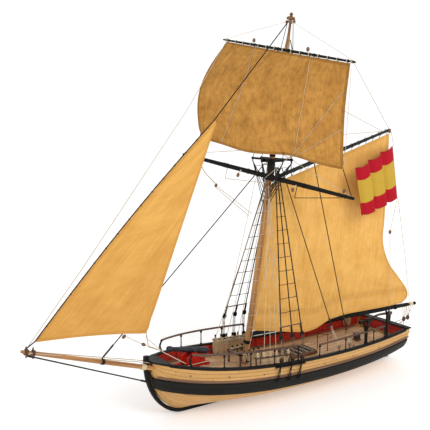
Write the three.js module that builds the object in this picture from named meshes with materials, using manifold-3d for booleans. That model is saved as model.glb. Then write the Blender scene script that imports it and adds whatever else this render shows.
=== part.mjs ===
// Display model of a single-masted gun cutter, built plank on bulkhead.
// Millimetres. +X points aft, -Y to port, +Z up; the origin is under the keel, amidships.
import * as THREE from 'three';
import { mergeVertices } from 'three/addons/utils/BufferGeometryUtils.js';
import Module from 'manifold-3d';

// ---- Driving dimensions -------------------------------------------------------------------
const gap = 0.3;                 // left between pieces that touch
const hullLength = 420;          // stem to transom, along the rail
const halfBeam = 60;
const halfTransom = 49;
const lowestRail = 51.2;         // height of the planking's top edge at its lowest point
const sheerLow = 0.658;          // that point, as a share of the hull length from the stem
const sheerRise = 53.4;          // rise of the rail for one hull length away from it
const keelDepth = 5;             // height of the keel below the planking
const keelHalf = 2.5;
const plank = 1.8;               // thickness of the planking
const wale = 1.7;                // thickness of the black strake
const bulwarkHeight = 14;        // rail above deck
const deckThickness = 1.5;
const camber = 1.6;              // rise of the deck from side to middle
const transomRake = 0.13;        // lean of the stern, as a slope
const forefootX = -157;          // where the stem's curve meets the straight keel
const mastHeelX = -49.4;         // mast axis at the reference height
const mastReference = 105;
const mastRake = 0.1589;         // aft lean, as a slope
const mastTip = 496;
const mastRadius = 4;

const colours = {
  black: 0x2a2b28, yellowWood: 0xc79a5c, mastWood: 0xb98447, deckWood: 0xc0936a, red: 0xb4301c,
  walnut: 0x6e4630, sail: 0xdda35a, rope: 0xd9c7a0, tarred: 0x35302c, iron: 0x2b2d30,
  plywood: 0xd8bd8a, brass: 0xb08d4a, flagRed: 0xc8323c,
};

// ---- Solids and placing -------------------------------------------------------------------
const wasm = await Module();
wasm.setup();

const cutter = new THREE.Group();
const vec = (x, y, z) => new THREE.Vector3(x, y, z);

function material(colour, roughness = 0.6, metalness = 0) {
  return new THREE.MeshStandardMaterial({ color: colours[colour], roughness, metalness });
}

function add(name, geometry, colour, roughness, metalness) {
  const mesh = new THREE.Mesh(geometry, material(colour, roughness, metalness));
  mesh.name = name;
  cutter.add(mesh);
}

function welded(geometry) {
  const bare = geometry.clone();
  bare.deleteAttribute('normal');
  bare.deleteAttribute('uv');
  return mergeVertices(bare, 1e-4);
}

function toSolid(geometry) {
  const bare = welded(geometry);
  const vertProperties = new Float32Array(bare.attributes.position.array);
  const triVerts = new Uint32Array(bare.index.array);
  return new wasm.Manifold(new wasm.Mesh({ numProp: 3, vertProperties, triVerts }));
}

function toGeometry(solid) {
  const mesh = solid.getMesh();
  const geometry = new THREE.BufferGeometry();
  geometry.setAttribute('position', new THREE.BufferAttribute(new Float32Array(mesh.vertProperties), 3));
  geometry.setIndex(new THREE.BufferAttribute(new Uint32Array(mesh.triVerts), 1));
  return geometry;
}

function joined(...geometries) {
  return toGeometry(geometries.map(toSolid).reduce((sum, next) => sum.add(next)));
}

function cut(geometry, ...tools) {
  return toGeometry(tools.map(toSolid).reduce((left, tool) => left.subtract(tool), toSolid(geometry)));
}

// A closed body whose faces may all point inwards is turned outside out.
function outward(geometry) {
  const p = geometry.attributes.position;
  const index = geometry.index.array;
  const [a, b, c] = [vec(), vec(), vec()];
  let volume = 0;
  for (let i = 0; i < index.length; i += 3) {
    a.fromBufferAttribute(p, index[i]);
    b.fromBufferAttribute(p, index[i + 1]);
    c.fromBufferAttribute(p, index[i + 2]);
    volume += a.dot(b.cross(c));
  }
  if (volume < 0) index.reverse();
  return geometry;
}

function mirrored(geometry) {
  const other = welded(geometry);
  other.scale(1, -1, 1);
  return outward(other);
}

function addPair(name, portGeometry, colour, roughness, metalness) {
  add(`${name}_port`, portGeometry, colour, roughness, metalness);
  add(`${name}_starboard`, mirrored(portGeometry), colour, roughness, metalness);
}

// Rings with the same number of points, skinned into one closed body. A ring goes out along
// one face and comes back along the other, so its two halves also close the ends.
function loft(rings) {
  const count = rings[0].length;
  const faces = [];
  const quad = (a, b, c, d) => faces.push(a, b, c, a, c, d);
  for (let ring = 0; ring < rings.length - 1; ring++) {
    for (let p = 0; p < count; p++) {
      const next = (p + 1) % count;
      const base = ring * count;
      const corners = [base + p, base + next, base + count + next, base + count + p];
      // Both faces are split along the same diagonal, so a thin twisted sheet stays equally thick.
      if (p >= count / 2) corners.push(corners.shift());
      quad(...corners);
    }
  }
  const last = (rings.length - 1) * count;
  for (let p = 0; p < count / 2 - 1; p++) {
    quad(count - 1 - p, count - 2 - p, p + 1, p);
    quad(last + p, last + p + 1, last + count - 2 - p, last + count - 1 - p);
  }
  const geometry = new THREE.BufferGeometry();
  const flat = rings.flat().flatMap(point => point.toArray());
  geometry.setAttribute('position', new THREE.BufferAttribute(new Float32Array(flat), 3));
  geometry.setIndex(faces);
  return outward(geometry);
}

// A round bar from one point to another, which may taper.
function rod(start, end, startRadius, endRadius = startRadius, sides = 10) {
  const along = end.clone().sub(start);
  const geometry = new THREE.CylinderGeometry(endRadius, startRadius, along.length(), sides);
  geometry.translate(0, along.length() / 2, 0);
  geometry.applyQuaternion(new THREE.Quaternion().setFromUnitVectors(vec(0, 1, 0), along.normalize()));
  geometry.translate(...start.toArray());
  return geometry;
}

// A body of revolution along a line: radii at shares of its length, closed at both ends.
function turned(start, end, profile, sides = 12) {
  const along = end.clone().sub(start);
  const length = along.length();
  const outline = profile.map(([share, radius]) => new THREE.Vector2(radius, share * length));
  outline.unshift(new THREE.Vector2(0, profile[0][0] * length));
  outline.push(new THREE.Vector2(0, profile.at(-1)[0] * length));
  const geometry = new THREE.LatheGeometry(outline, sides);
  geometry.applyQuaternion(new THREE.Quaternion().setFromUnitVectors(vec(0, 1, 0), along.normalize()));
  geometry.translate(...start.toArray());
  return geometry;
}

function box(sizeX, sizeY, sizeZ, x, y, z) {
  return new THREE.BoxGeometry(sizeX, sizeY, sizeZ).translate(x, y, z);
}

function ball(radius, x, y, z) {
  return new THREE.SphereGeometry(radius, 10, 8).translate(x, y, z);
}

// A flat outline in the X-Z plane, made as thick as asked and centred on a distance from the middle.
function upright(points, thickness, y) {
  const shape = new THREE.Shape(points.map(([x, z]) => new THREE.Vector2(x, z)));
  const geometry = new THREE.ExtrudeGeometry(shape, { depth: thickness, bevelEnabled: false });
  geometry.rotateX(Math.PI / 2);
  return geometry.translate(0, y + thickness / 2, 0);
}

// A flat outline in the Y-Z plane, its thickness running aft from x.
function crosswise(points, thickness, x) {
  const shape = new THREE.Shape(points.map(([y, z]) => new THREE.Vector2(y, z)));
  const geometry = new THREE.ExtrudeGeometry(shape, { depth: thickness, bevelEnabled: false });
  geometry.rotateX(Math.PI / 2);
  geometry.rotateZ(Math.PI / 2);
  return geometry.translate(x, 0, 0);
}

const lerp = (a, b, t) => a + (b - a) * t;
const steps = (from, to, count) => Array.from({ length: count + 1 }, (_, i) => lerp(from, to, i / count));

// ---- Hull form ----------------------------------------------------------------------------
// A station runs from 0 at the stem to 1 at the transom.
const station = x => x / hullLength + 0.5;
const stationX = s => (s - 0.5) * hullLength;
const railHeight = s => lowestRail + sheerRise * (s - sheerLow) ** 2;

function railBreadth(s) {
  const fromMiddle = Math.abs(2 * s - 1);
  if (s < 0.5) return halfBeam * (1 - fromMiddle ** 3.4) ** 0.82;
  return halfBeam - (halfBeam - halfTransom) * fromMiddle ** 2.5;
}

// Height of the planking's bottom edge: along the keel, then up the round of the stem.
function rabbetHeight(s) {
  const ahead = Math.min((forefootX - stationX(s)) / 49, 0.999);
  return ahead > 0 ? keelDepth + 68 * (1 - Math.sqrt(1 - ahead ** 2)) : keelDepth;
}

// Half breadth of the hull at a share of the height between the rabbet and the rail.
function sectionBreadth(s, share) {
  const fromMiddle = Math.abs(2 * s - 1);
  const bilge = 7 - 4 * fromMiddle ** 1.6;
  const hollow = 1 + 0.4 * fromMiddle ** 2;
  const inner = keelHalf + gap;
  const outer = Math.max(railBreadth(s), inner + 0.6);
  return inner + (outer - inner) * (1 - (1 - share) ** bilge) ** hollow;
}

// Point on the port side of the hull surface. The stern leans aft by the transom's rake.
function surface(s, share) {
  const bottom = rabbetHeight(s);
  const z = lerp(bottom, railHeight(s), share);
  const lean = Math.min(Math.max(0, (s - 0.8) / 0.18), 1) * transomRake * (railHeight(s) - z);
  return vec(stationX(s) - lean, -sectionBreadth(s, share), z);
}

// The same point moved out of the hull (or in, when the distance is negative).
function offsetSurface(s, share, distance) {
  const small = 0.004;
  const along = surface(s + small, share).sub(surface(s, share));
  const upwards = surface(s, Math.min(share + small, 1)).sub(surface(s, Math.min(share, 1 - small)));
  const normal = along.cross(upwards).normalize();
  const point = surface(s, share).add(normal.multiplyScalar(distance));
  point.y = Math.min(point.y, -keelHalf - gap);
  return point;
}

const shareAt = (s, height) => (height - rabbetHeight(s)) / (railHeight(s) - rabbetHeight(s));
const waleTop = s => railHeight(s) - 18.8 + 5 * s;
const waleBottom = s => railHeight(s) - 33 + 7 * s;
const deckHeight = s => railHeight(s) - bulwarkHeight;

// A strip of the hull's skin between two heights, from one distance outside it to another.
function skin(stations, shares, near, far) {
  return loft(stations.map(s => {
    const levels = shares(s);
    const outside = levels.map(share => offsetSurface(s, share, far));
    const inside = levels.map(share => offsetSurface(s, share, near));
    return [...outside, ...inside.reverse()];
  }));
}

const planksEnd = 0.99;
const hullStations = [0.012, 0.03, 0.055, 0.09, 0.14, 0.21, 0.3, 0.42, 0.56, 0.7, 0.82, 0.92, planksEnd];

// ---- Bowsprit line, needed by the hull's hole for it ----------------------------------------
const bowspritTip = vec(-368.4, -7.5, 119.4);
const bowspritHeel = vec(-186, -7.5, 61.8);
const bowspritRadius = 2.9;
const alongBowsprit = share => bowspritHeel.clone().lerp(bowspritTip, share);

// ---- Hull ---------------------------------------------------------------------------------
function keel() {
  const outline = new THREE.Shape();
  const sternX = 206;
  const postX = 202.5;
  outline.moveTo(sternX, 0);
  outline.lineTo(forefootX, 0);
  outline.absellipse(forefootX, 74, 56, 74, -Math.PI / 2, -Math.PI, true);
  outline.lineTo(-212.5, 82);
  outline.lineTo(-207.5, 82);
  outline.lineTo(-207.5, 73);
  outline.absellipse(forefootX, 73, 50.5, 68.3, Math.PI, Math.PI * 1.5, false);
  outline.lineTo(postX, keelDepth - gap);
  outline.lineTo(postX + transomRake * 47, 52);
  outline.lineTo(sternX + transomRake * 47, 52);
  const geometry = new THREE.ExtrudeGeometry(outline, {
    depth: 2 * keelHalf, bevelEnabled: false, curveSegments: 10,
  });
  geometry.rotateX(Math.PI / 2);
  return geometry.translate(0, keelHalf, 0);
}

const formerHalf = 1.5;
const bulkheadThickness = 3;
const bulkheadStations = [0.13, 0.25, 0.4, 0.55, 0.7, 0.85];
const slotTop = x => lerp(rabbetHeight(station(x)), deckHeight(station(x)), 0.5);
const deckUnderside = s => deckHeight(s) - deckThickness - gap;

function centreFormer() {
  const points = [];
  for (const s of steps(0.06, 0.11, 3)) points.push([stationX(s), rabbetHeight(s) + 0.5]);
  points.push([-150, keelDepth + gap], [195, keelDepth + gap]);
  points.push([198, deckUnderside(0.97) + camber]);
  const topStations = steps(0.94, 0.07, 10);
  for (const s of topStations) points.push([stationX(s), deckUnderside(s) + camber]);
  let former = upright(points, 2 * formerHalf, 0);
  for (const s of bulkheadStations) {
    const x = stationX(s);
    const bottom = slotTop(x);
    former = cut(former, box(bulkheadThickness + 2 * gap, 9, 80, x, 0, bottom + 40 - gap));
  }
  const mastStep = vec(mastX(16), 0, 16);
  return cut(former, rod(mastStep, mastPoint(90), mastRadius + gap, mastRadius + gap));
}

function bulkhead(s) {
  const x = stationX(s);
  const inset = -(plank + 4 * gap) / 0.9;
  const narrow = station(x + Math.sign(s - 0.5) * bulkheadThickness / 2);
  const levels = [0.02, 0.06, 0.12, 0.2, 0.32, 0.5];
  const topShare = shareAt(s, deckUnderside(s));
  const port = [...levels.filter(share => share < topShare), topShare]
    .map(share => offsetSurface(narrow, share, inset))
    .map(point => [point.y, Math.min(point.z, deckUnderside(s))]);
  const slot = formerHalf + gap;
  const bottom = port[0][1];
  const outline = [[-slot, bottom], ...port, [0, deckUnderside(s) + camber * 0.9]];
  outline.push(...port.map(([y, z]) => [-y, z]).reverse());
  outline.push([slot, bottom], [slot, slotTop(x)], [-slot, slotTop(x)]);
  return crosswise(outline, bulkheadThickness, x - bulkheadThickness / 2);
}

function planking() {
  const shares = () => [0, 0.04, 0.1, 0.18, 0.3, 0.5, 0.75, 0.995];
  const shell = skin(hullStations, shares, -plank, 0);
  const hole = rod(alongBowsprit(-0.1), alongBowsprit(0.4), bowspritRadius + 0.5, bowspritRadius + 0.5);
  return { port: cut(shell, hole), starboard: mirrored(shell) };
}

function waleStrake() {
  const shares = s => steps(Math.max(shareAt(s, waleBottom(s)), 0.02), shareAt(s, waleTop(s)), 2);
  return skin([0.014, ...hullStations.slice(1)], shares, 2 * gap, 2 * gap + wale);
}

function bulwarkLining() {
  const stations = [...hullStations.slice(2, -1), 0.975];
  const shares = s => [shareAt(s, deckHeight(s) + 2 * gap), 0.985];
  const outside = -plank - 2 * gap;
  return skin(stations, shares, outside - 1.2, outside);
}

// The plank that caps the bulwark, lying flat on the top edges of planking and lining.
const capWidth = 5.6;
const capThickness = 1.8;
const capOverhang = 1.2;

function capRail() {
  const stations = [0.05, 0.07, 0.1, 0.15, 0.22, 0.3, 0.4, 0.52, 0.64, 0.76, 0.86, 0.93, 0.975];
  return loft(stations.map(s => {
    const outer = offsetSurface(s, 1, capOverhang);
    const inner = offsetSurface(s, 1, capOverhang - capWidth);
    const base = railHeight(s) + gap;
    const top = base + capThickness;
    return [vec(outer.x, outer.y, base), vec(outer.x, outer.y, top),
      vec(inner.x, inner.y, top), vec(inner.x, inner.y, base)];
  }));
}

// The black knee that joins the two cap rails over the stem.
function breastHook() {
  const edge = [0.011, 0.018, 0.03, 0.047].map(s => offsetSurface(s, 1, capOverhang));
  const outline = edge.map(point => [point.x, point.y]);
  const tail = edge.at(-1).x;
  outline.push([tail, -14], [tail - 9, 0], [tail, 14]);
  outline.push(...edge.map(point => [point.x, -point.y]).reverse());
  const shape = new THREE.Shape(outline.map(([x, y]) => new THREE.Vector2(x, y)));
  const geometry = new THREE.ExtrudeGeometry(shape, { depth: capThickness, bevelEnabled: false });
  const slope = -2 * sheerRise * (sheerLow - 0.03) / hullLength;
  geometry.applyMatrix4(new THREE.Matrix4().set(1, 0, 0, 0, 0, 1, 0, 0, slope, 0, 1, 0, 0, 0, 0, 1));
  const height = railHeight(0.047) + gap - slope * tail;
  return geometry.translate(0, 0, height);
}

function transom() {
  const levels = [0.03, 0.1, 0.2, 0.32, 0.5, 0.75, 1];
  const port = levels.map(share => surface(planksEnd, share)).map(point => [point.y, point.z]);
  const aftEnd = stationX(planksEnd) - transomRake * railHeight(planksEnd);
  const outline = [...port, ...port.map(([y, z]) => [-y, z]).reverse()];
  const plate = crosswise(outline, 2.8, 0);
  const lean = transomRake;
  plate.applyMatrix4(new THREE.Matrix4().set(1, 0, lean, 0, 0, 1, 0, 0, 0, 0, 1, 0, 0, 0, 0, 1));
  plate.translate(aftEnd + gap, 0, 0);
  return plate;
}

function taffrail() {
  const halfWidth = halfTransom + capOverhang;
  const fore = hullLength / 2 - 8.5;
  const corner = hullLength / 2 + 1.5;
  const crown = hullLength / 2 + 3;
  const outline = [[fore, -halfWidth], [corner, -halfWidth], [crown, 0], [corner, halfWidth],
    [fore, halfWidth]];
  const shape = new THREE.Shape(outline.map(([x, y]) => new THREE.Vector2(x, y)));
  const geometry = new THREE.ExtrudeGeometry(shape, { depth: capThickness, bevelEnabled: false });
  return geometry.translate(0, 0, railHeight(1) + gap);
}

const hatch = { x: 34, y: 0, length: 44, width: 34 };

function deck() {
  const stations = [...hullStations.slice(2, -1), 0.955];
  const rings = stations.map(s => {
    const height = deckHeight(s);
    const side = -offsetSurface(s, shareAt(s, height - deckThickness), -plank - 4 * gap).y - 2 * gap;
    const across = steps(-side, side, 6);
    const rise = y => camber * (1 - (y / side) ** 2);
    const top = across.map(y => vec(stationX(s), y, height + rise(y)));
    const under = across.map(y => vec(stationX(s), y, height - deckThickness + rise(y)));
    return [...top, ...under.reverse()];
  });
  const mastHole = rod(mastPoint(20), mastPoint(90), mastRadius + gap, mastRadius + gap, 12);
  return cut(loft(rings), mastHole);
}

function hatchCoaming() {
  const base = deckHeight(station(hatch.x - hatch.length / 2)) + camber + gap;
  const height = 4.5;
  const outer = box(hatch.length, hatch.width, height, hatch.x, hatch.y, base + height / 2);
  const inner = box(hatch.length - 5, hatch.width - 5, 2 * height, hatch.x, hatch.y, base + height / 2);
  const ledge = box(hatch.length - 2.4, hatch.width - 2.4, height, hatch.x, hatch.y, base + height + 0.5);
  return cut(outer, inner, ledge);
}

function hatchGrating() {
  const base = deckHeight(station(hatch.x - hatch.length / 2)) + camber + 4.5 / 2 + 0.5 + 2 * gap;
  const length = hatch.length - 3;
  const width = hatch.width - 3;
  const thickness = 1.8;
  const plate = box(length, width, thickness, hatch.x, hatch.y, base + thickness / 2);
  const holes = [];
  const hole = 4.6;
  for (const x of steps(-length / 2 + 5, length / 2 - 5, 5)) {
    for (const y of steps(-width / 2 + 5, width / 2 - 5, 3)) {
      holes.push(box(hole, hole, 6, hatch.x + x, hatch.y + y, base));
    }
  }
  return cut(plate, ...holes);
}

// ---- Mast and standing rigging --------------------------------------------------------------
function mastX(z) { return mastHeelX + mastRake * (z - mastReference); }
function mastPoint(z) { return vec(mastX(z), 0, z); }

const mastSpan = [18, mastTip];
const mastShare = z => (z - mastSpan[0]) / (mastSpan[1] - mastSpan[0]);
const crosstreesHeight = 313;
const crosstreesSpan = 66;

function mast() {
  const profile = [[0, 3.6], [mastShare(60), mastRadius], [mastShare(200), 3.8], [mastShare(300), 3.4],
    [mastShare(325), 3.2], [mastShare(332), 2.6], [mastShare(450), 2.1], [1, 1.6]];
  return turned(mastPoint(mastSpan[0]), mastPoint(mastSpan[1]), profile);
}

function mastTruck() {
  const base = mastPoint(mastTip + gap);
  const top = mastPoint(mastTip + 10);
  return turned(base, top, [[0, 2.2], [0.2, 3], [0.4, 2.2], [0.5, 1], [0.75, 1.6], [1, 0.5]]);
}

function crosstrees() {
  const z = crosstreesHeight;
  const x = mastX(z);
  const armOffset = 7.5;
  const beams = [];
  for (const side of [-1, 1]) beams.push(box(27, 3, 4, x, side * 5.4, z));
  for (const along of [-armOffset, armOffset]) beams.push(box(3, crosstreesSpan, 2.6, x + along, 0, z + 2));
  return joined(...beams);
}

const shroudX = [-48.3, -30.1, -13.5];     // deadeyes, from forward to aft
const deadeyeY = -64;
const channelZ = x => railHeight(station(x)) - 0.5;

// Three shrouds of one side with their deadeyes and chainplates, tied together by the sheer pole.
function shrouds() {
  const parts = [];
  const topX = [-14.5, -12, -9.5];
  const topZ = 303;
  shroudX.forEach((x, i) => {
    const upper = vec(x, deadeyeY + 1.5, 92);
    const lower = vec(x, deadeyeY, channelZ(x) + 8);
    const top = vec(topX[i], -5.2, topZ);
    parts.push(rod(upper, top, 0.7, 0.7, 6));
    parts.push(rod(lower, upper, 0.6, 0.6, 6));
    for (const eye of [upper, lower]) {
      parts.push(rod(eye.clone().add(vec(0, -1.6, 0)), eye.clone().add(vec(0, 1.6, 0)), 3, 3, 10));
    }
    parts.push(rod(lower, vec(x, deadeyeY + 0.5, waleTop(station(x)) - 4), 0.7, 0.7, 6));
    if (i > 0) parts.push(rod(vec(topX[i - 1], -5.2, topZ), top, 0.9, 0.9, 6));
  });
  const first = vec(shroudX[0] - 2, deadeyeY + 3, 98);
  const last = vec(shroudX[2] + 2, deadeyeY + 3, 98);
  parts.push(rod(first, last, 0.9, 0.9, 6));
  return joined(...parts);
}

function channel() {
  const start = station(-56);
  const end = station(-6);
  return loft(steps(start, end, 3).map(s => {
    const hull = offsetSurface(s, 1, capOverhang + gap);
    const edge = deadeyeY + 1.6;
    const base = railHeight(s) - 2.6;
    const top = base + 1.8;
    const inner = Math.min(hull.y, offsetSurface(s, 1, gap).y);
    return [vec(hull.x, inner, base), vec(hull.x, inner, top),
      vec(hull.x, edge, top), vec(hull.x, edge, base)];
  }));
}

function forestay() {
  return rod(vec(-271.5, -7.5, 93.6), vec(-30, -1.2, 309), 0.7, 0.7, 6);
}

function topmastStay() {
  return rod(vec(-362, -7.5, 121.6), vec(4.5, -0.6, 488), 0.5, 0.5, 6);
}

function bobstay() {
  return rod(vec(-361, -7.5, 113.2), vec(-211.8, -1.2, 50.2), 0.8, 0.8, 6);
}

// Two backstays of one side, which come down to one strap on the rail.
function backstays() {
  const strapZ = railHeight(station(70)) + capThickness + 2 * gap + 0.7;
  const y = -55.9;
  const strap = box(27, 1.6, 1.4, 70, y, strapZ);
  const lowerStay = rod(vec(60, y, strapZ), vec(-4.5, -6.5, 303), 0.6, 0.6, 6);
  const upperStay = rod(vec(80, y, strapZ), vec(9.5, -3.6, 470), 0.5, 0.5, 6);
  return joined(strap, lowerStay, upperStay);
}

function bowsprit() {
  const profile = [[0, bowspritRadius], [0.4, bowspritRadius], [0.955, 2.2], [0.96, 3], [0.985, 3], [1, 2]];
  return turned(bowspritHeel, bowspritTip, profile);
}

// ---- Rails and deck fittings ----------------------------------------------------------------
// A handrail on stanchions, joined into one piece.
function handrail(stations, endHeight, startHeight, inset) {
  const foot = s => offsetSurface(s, 1, -inset).setZ(railHeight(s) + capThickness + 2 * gap);
  const head = s => {
    const share = (s - stations[0]) / (stations.at(-1) - stations[0]);
    return foot(s).setZ(lerp(startHeight, endHeight, share));
  };
  const parts = stations.map(s => rod(foot(s), head(s), 0.8, 0.7, 6));
  const line = new THREE.CatmullRomCurve3(steps(stations[0], stations.at(-1), 6).map(head));
  const ring = new THREE.Shape(steps(0, 1.75 * Math.PI, 7).map(
    turn => new THREE.Vector2(Math.cos(turn), Math.sin(turn))));
  parts.push(new THREE.ExtrudeGeometry(ring, { steps: 10, extrudePath: line, bevelEnabled: false }));
  return joined(...parts);
}

// A pinned rail inside the bulwark, abreast of the mast.
function pinRail() {
  const start = station(-78);
  const end = station(-22);
  const inset = 11;
  const foot = s => offsetSurface(s, 1, -inset).setZ(deckHeight(s) + camber + 2 * gap);
  const head = s => offsetSurface(s, 1, -inset).setZ(railHeight(s) + 9);
  const posts = [start, end].map(s => rod(foot(s), head(s), 1.3, 1.3, 8));
  return joined(...posts, rod(head(start), head(end), 1.9, 1.9, 8));
}

function fifeRail() {
  const deckZ = deckHeight(station(-78)) + camber + gap;
  const top = deckZ + 17;
  const parts = [];
  const aftX = -42;
  const foreX = -76;
  for (const side of [-1, 1]) {
    for (const x of [foreX, aftX]) parts.push(rod(vec(x, side * 13, deckZ + 1.2), vec(x, side * 13, top), 1.5));
    parts.push(box(38, 4, 2.4, (foreX + aftX) / 2, side * 13, top));
  }
  parts.push(box(4, 30, 2.4, foreX, 0, top));
  return joined(...parts);
}

// Post stepped on the port rail that takes the boom when it is lowered.
function boomCrutch() {
  const x = 155;
  const y = -54;
  const base = railHeight(station(x)) + capThickness + 2 * gap;
  const height = 37;
  const outline = [[-2.4, -1], [2.4, -1], [3.2, 5], [1.9, 5], [1.2, 1.2], [-1.2, 1.2], [-1.9, 5], [-3.2, 5]];
  const fork = crosswise(outline, 2, -1).translate(x, y, base + height);
  return joined(rod(vec(x, y, base), vec(x, y, base + height), 1.4, 1.4, 8), fork);
}

const swivel = { x: 113, y: -54.1, barrelZ: 86 };

function swivelPost() {
  const base = railHeight(station(swivel.x)) + capThickness + 2 * gap;
  const foot = vec(swivel.x, swivel.y, base);
  return turned(foot, foot.clone().setZ(swivel.barrelZ - 10), [[0, 2.2], [0.15, 1.6], [0.9, 1.6], [1, 2.1]], 10);
}

function swivelTrunnion(halfLength, radius) {
  const { x, y, barrelZ } = swivel;
  return rod(vec(x, y - halfLength, barrelZ), vec(x, y + halfLength, barrelZ), radius, radius, 8);
}

// The fork that turns in the post and carries the barrel between its two cheeks.
function swivelYoke() {
  const z = swivel.barrelZ;
  const parts = [box(3, 9, 1.8, swivel.x, swivel.y, z - 8.4)];
  for (const side of [-1, 1]) parts.push(box(3.4, 1.4, 10.8, swivel.x, swivel.y + side * 3.8, z - 3.2));
  return cut(joined(...parts), swivelTrunnion(5, 1));
}

function swivelBarrel() {
  const breech = vec(swivel.x + 15, swivel.y, swivel.barrelZ);
  const muzzle = vec(swivel.x - 14, swivel.y, swivel.barrelZ);
  const profile = [[0, 0.9], [0.1, 0.9], [0.14, 2.7], [0.45, 2.4], [0.9, 1.6], [0.94, 2.2], [1, 2.2]];
  return joined(turned(breech, muzzle, profile), swivelTrunnion(4.2, 0.7));
}

const binnacle = { x: 143, y: -7 };

function binnacleBox() {
  const base = deckHeight(station(binnacle.x)) + camber + 1;
  return box(9, 10, 11, binnacle.x, binnacle.y, base + 5.5);
}

// ---- Bow gun ------------------------------------------------------------------------------
const gun = { x: -143, trunnionZ: 77.4, elevation: 12 * Math.PI / 180 };
const gunDeck = deckHeight(station(gun.x - 10)) + camber;

function gunSlide() {
  const z = gunDeck + gap;
  const turntable = new THREE.CylinderGeometry(9, 10, 3, 20).rotateX(Math.PI / 2).translate(gun.x, 0, z + 1.5);
  const parts = [turntable, box(5, 20, 2.6, gun.x - 17, 0, z + 4.6), box(5, 20, 2.6, gun.x + 17, 0, z + 4.6)];
  for (const side of [-1, 1]) parts.push(box(44, 3.4, 3.8, gun.x, side * 6.4, z + 5.4));
  parts.push(box(14, 14, 3, gun.x, 0, z + 4));
  return joined(...parts);
}

const cheekOutline = [[-13, 0], [15, 0], [15, 4], [9, 6.5], [6, 9.5], [2.6, 14], [-2.6, 14], [-6, 11],
  [-13, 8]];

function gunCarriage() {
  const z = gunDeck + 8.2;
  const parts = [box(26, 12, 3, gun.x + 1, 0, z + 1.5)];
  for (const side of [-1, 1]) {
    const cheek = upright(cheekOutline.map(([x, height]) => [gun.x + x, z + height]), 2.6, side * 6.6);
    parts.push(cheek);
  }
  const seat = rod(vec(gun.x, -12, gun.trunnionZ), vec(gun.x, 12, gun.trunnionZ), 1.9, 1.9, 12);
  return cut(joined(...parts), seat, box(3.8, 24, 8, gun.x, 0, gun.trunnionZ + 4));
}

function gunBarrel() {
  const along = vec(-Math.cos(gun.elevation), 0, Math.sin(gun.elevation));
  const trunnion = vec(gun.x, 0, gun.trunnionZ);
  const at = distance => trunnion.clone().addScaledVector(along, distance);
  const profile = [[0, 1.2], [0.04, 1.6], [0.07, 1.2], [0.1, 4.4], [0.28, 4.3], [0.3, 4], [0.55, 3.6],
    [0.9, 2.8], [0.95, 3.9], [1, 3.6]];
  const barrel = turned(at(-29), at(37), profile, 14);
  const pin = rod(vec(gun.x, -8.4, gun.trunnionZ), vec(gun.x, 8.4, gun.trunnionZ), 1.5, 1.5, 10);
  return joined(barrel, pin);
}

// ---- Rudder -------------------------------------------------------------------------------
const rudderHinge = z => 207.6 + transomRake * z;      // the pintles' line, along the sternpost

function rudder() {
  const outline = [[0.2, 0], [10.5, 0.6], [9.5, 20], [7.4, 38], [5.4, 44], [5.2, 66], [0.2, 66]];
  return upright(outline.map(([x, z]) => [rudderHinge(z) + x, z]), 3.2, 0);
}

function tiller() {
  const base = vec(rudderHinge(69) - 1, 0, 68.6);
  const grip = vec(152, 0, 64.5);
  const head = box(8.4, 5.2, 4.4, rudderHinge(69) + 2.7, 0, 68.6);
  return joined(rod(base, grip, 1.7, 1.2, 8), head, ball(1.9, ...grip.toArray()));
}

// ---- Fore-and-aft rig -----------------------------------------------------------------------
const boomEnd = vec(236, -37, 90.3);
const boomZ = 82;
const gaffPeak = vec(166, -38.6, 352);
const gaffZ = 287;
const mastAxis = vec(mastRake, 0, 1).normalize();

// Horns that half surround the mast, drawn on the mast's axis and turned with the spar.
function jaws(z, towards, height) {
  const inner = mastRadius + 0.8;
  const outer = inner + 2.4;
  const shape = new THREE.Shape();
  const open = 0.42 * Math.PI;
  shape.absarc(0, 0, outer, -open, open, false);
  shape.absarc(0, 0, inner, open, -open, true);
  const geometry = new THREE.ExtrudeGeometry(shape, { depth: height, bevelEnabled: false, curveSegments: 12 });
  geometry.translate(0, 0, -height / 2);
  const swing = Math.atan2(towards.y, towards.x - mastX(z));
  geometry.rotateZ(swing);
  geometry.applyQuaternion(new THREE.Quaternion().setFromUnitVectors(vec(0, 0, 1), mastAxis));
  return geometry.translate(mastX(z), 0, z);
}

function sparFrom(z, end, near, profile) {
  const heel = mastPoint(z);
  const start = heel.clone().add(end.clone().sub(heel).setLength(near));
  return joined(turned(start, end, profile, 10), jaws(z, end, 5));
}

function boom() {
  const profile = [[0, 2.6], [0.4, 3.2], [0.75, 3.1], [0.95, 2.6], [0.96, 1.7], [0.965, 2.2], [1, 1.6]];
  return sparFrom(boomZ, boomEnd, mastRadius + 2, profile);
}

function gaff() {
  return sparFrom(gaffZ, gaffPeak, mastRadius + 2, [[0, 2.4], [0.35, 2.9], [1, 1.7]]);
}

const straight = (foot, head) => v => foot.clone().lerp(head, v);

// A sail as a thin curved body. Its fore and after edges are functions of the height's share v,
// and the belly pushes the middle sideways.
function sail(foreEdge, afterEdge, belly, columns, rows) {
  const thickness = 0.6;
  const cloth = (u, v) => {
    const round = Math.sin(Math.PI * u) * Math.sin(Math.PI * Math.min(0.12 + v * 0.84, 1));
    return foreEdge(v).lerp(afterEdge(v), u).addScaledVector(belly, round);
  };
  const normal = belly.clone().setLength(thickness / 2);
  return loft(steps(0, 1, rows).map(v => {
    const outside = steps(0, 1, columns).map(u => cloth(u, v).add(normal));
    const inside = steps(0, 1, columns).map(u => cloth(u, v).sub(normal));
    return [...outside, ...inside.reverse()];
  }));
}

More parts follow.
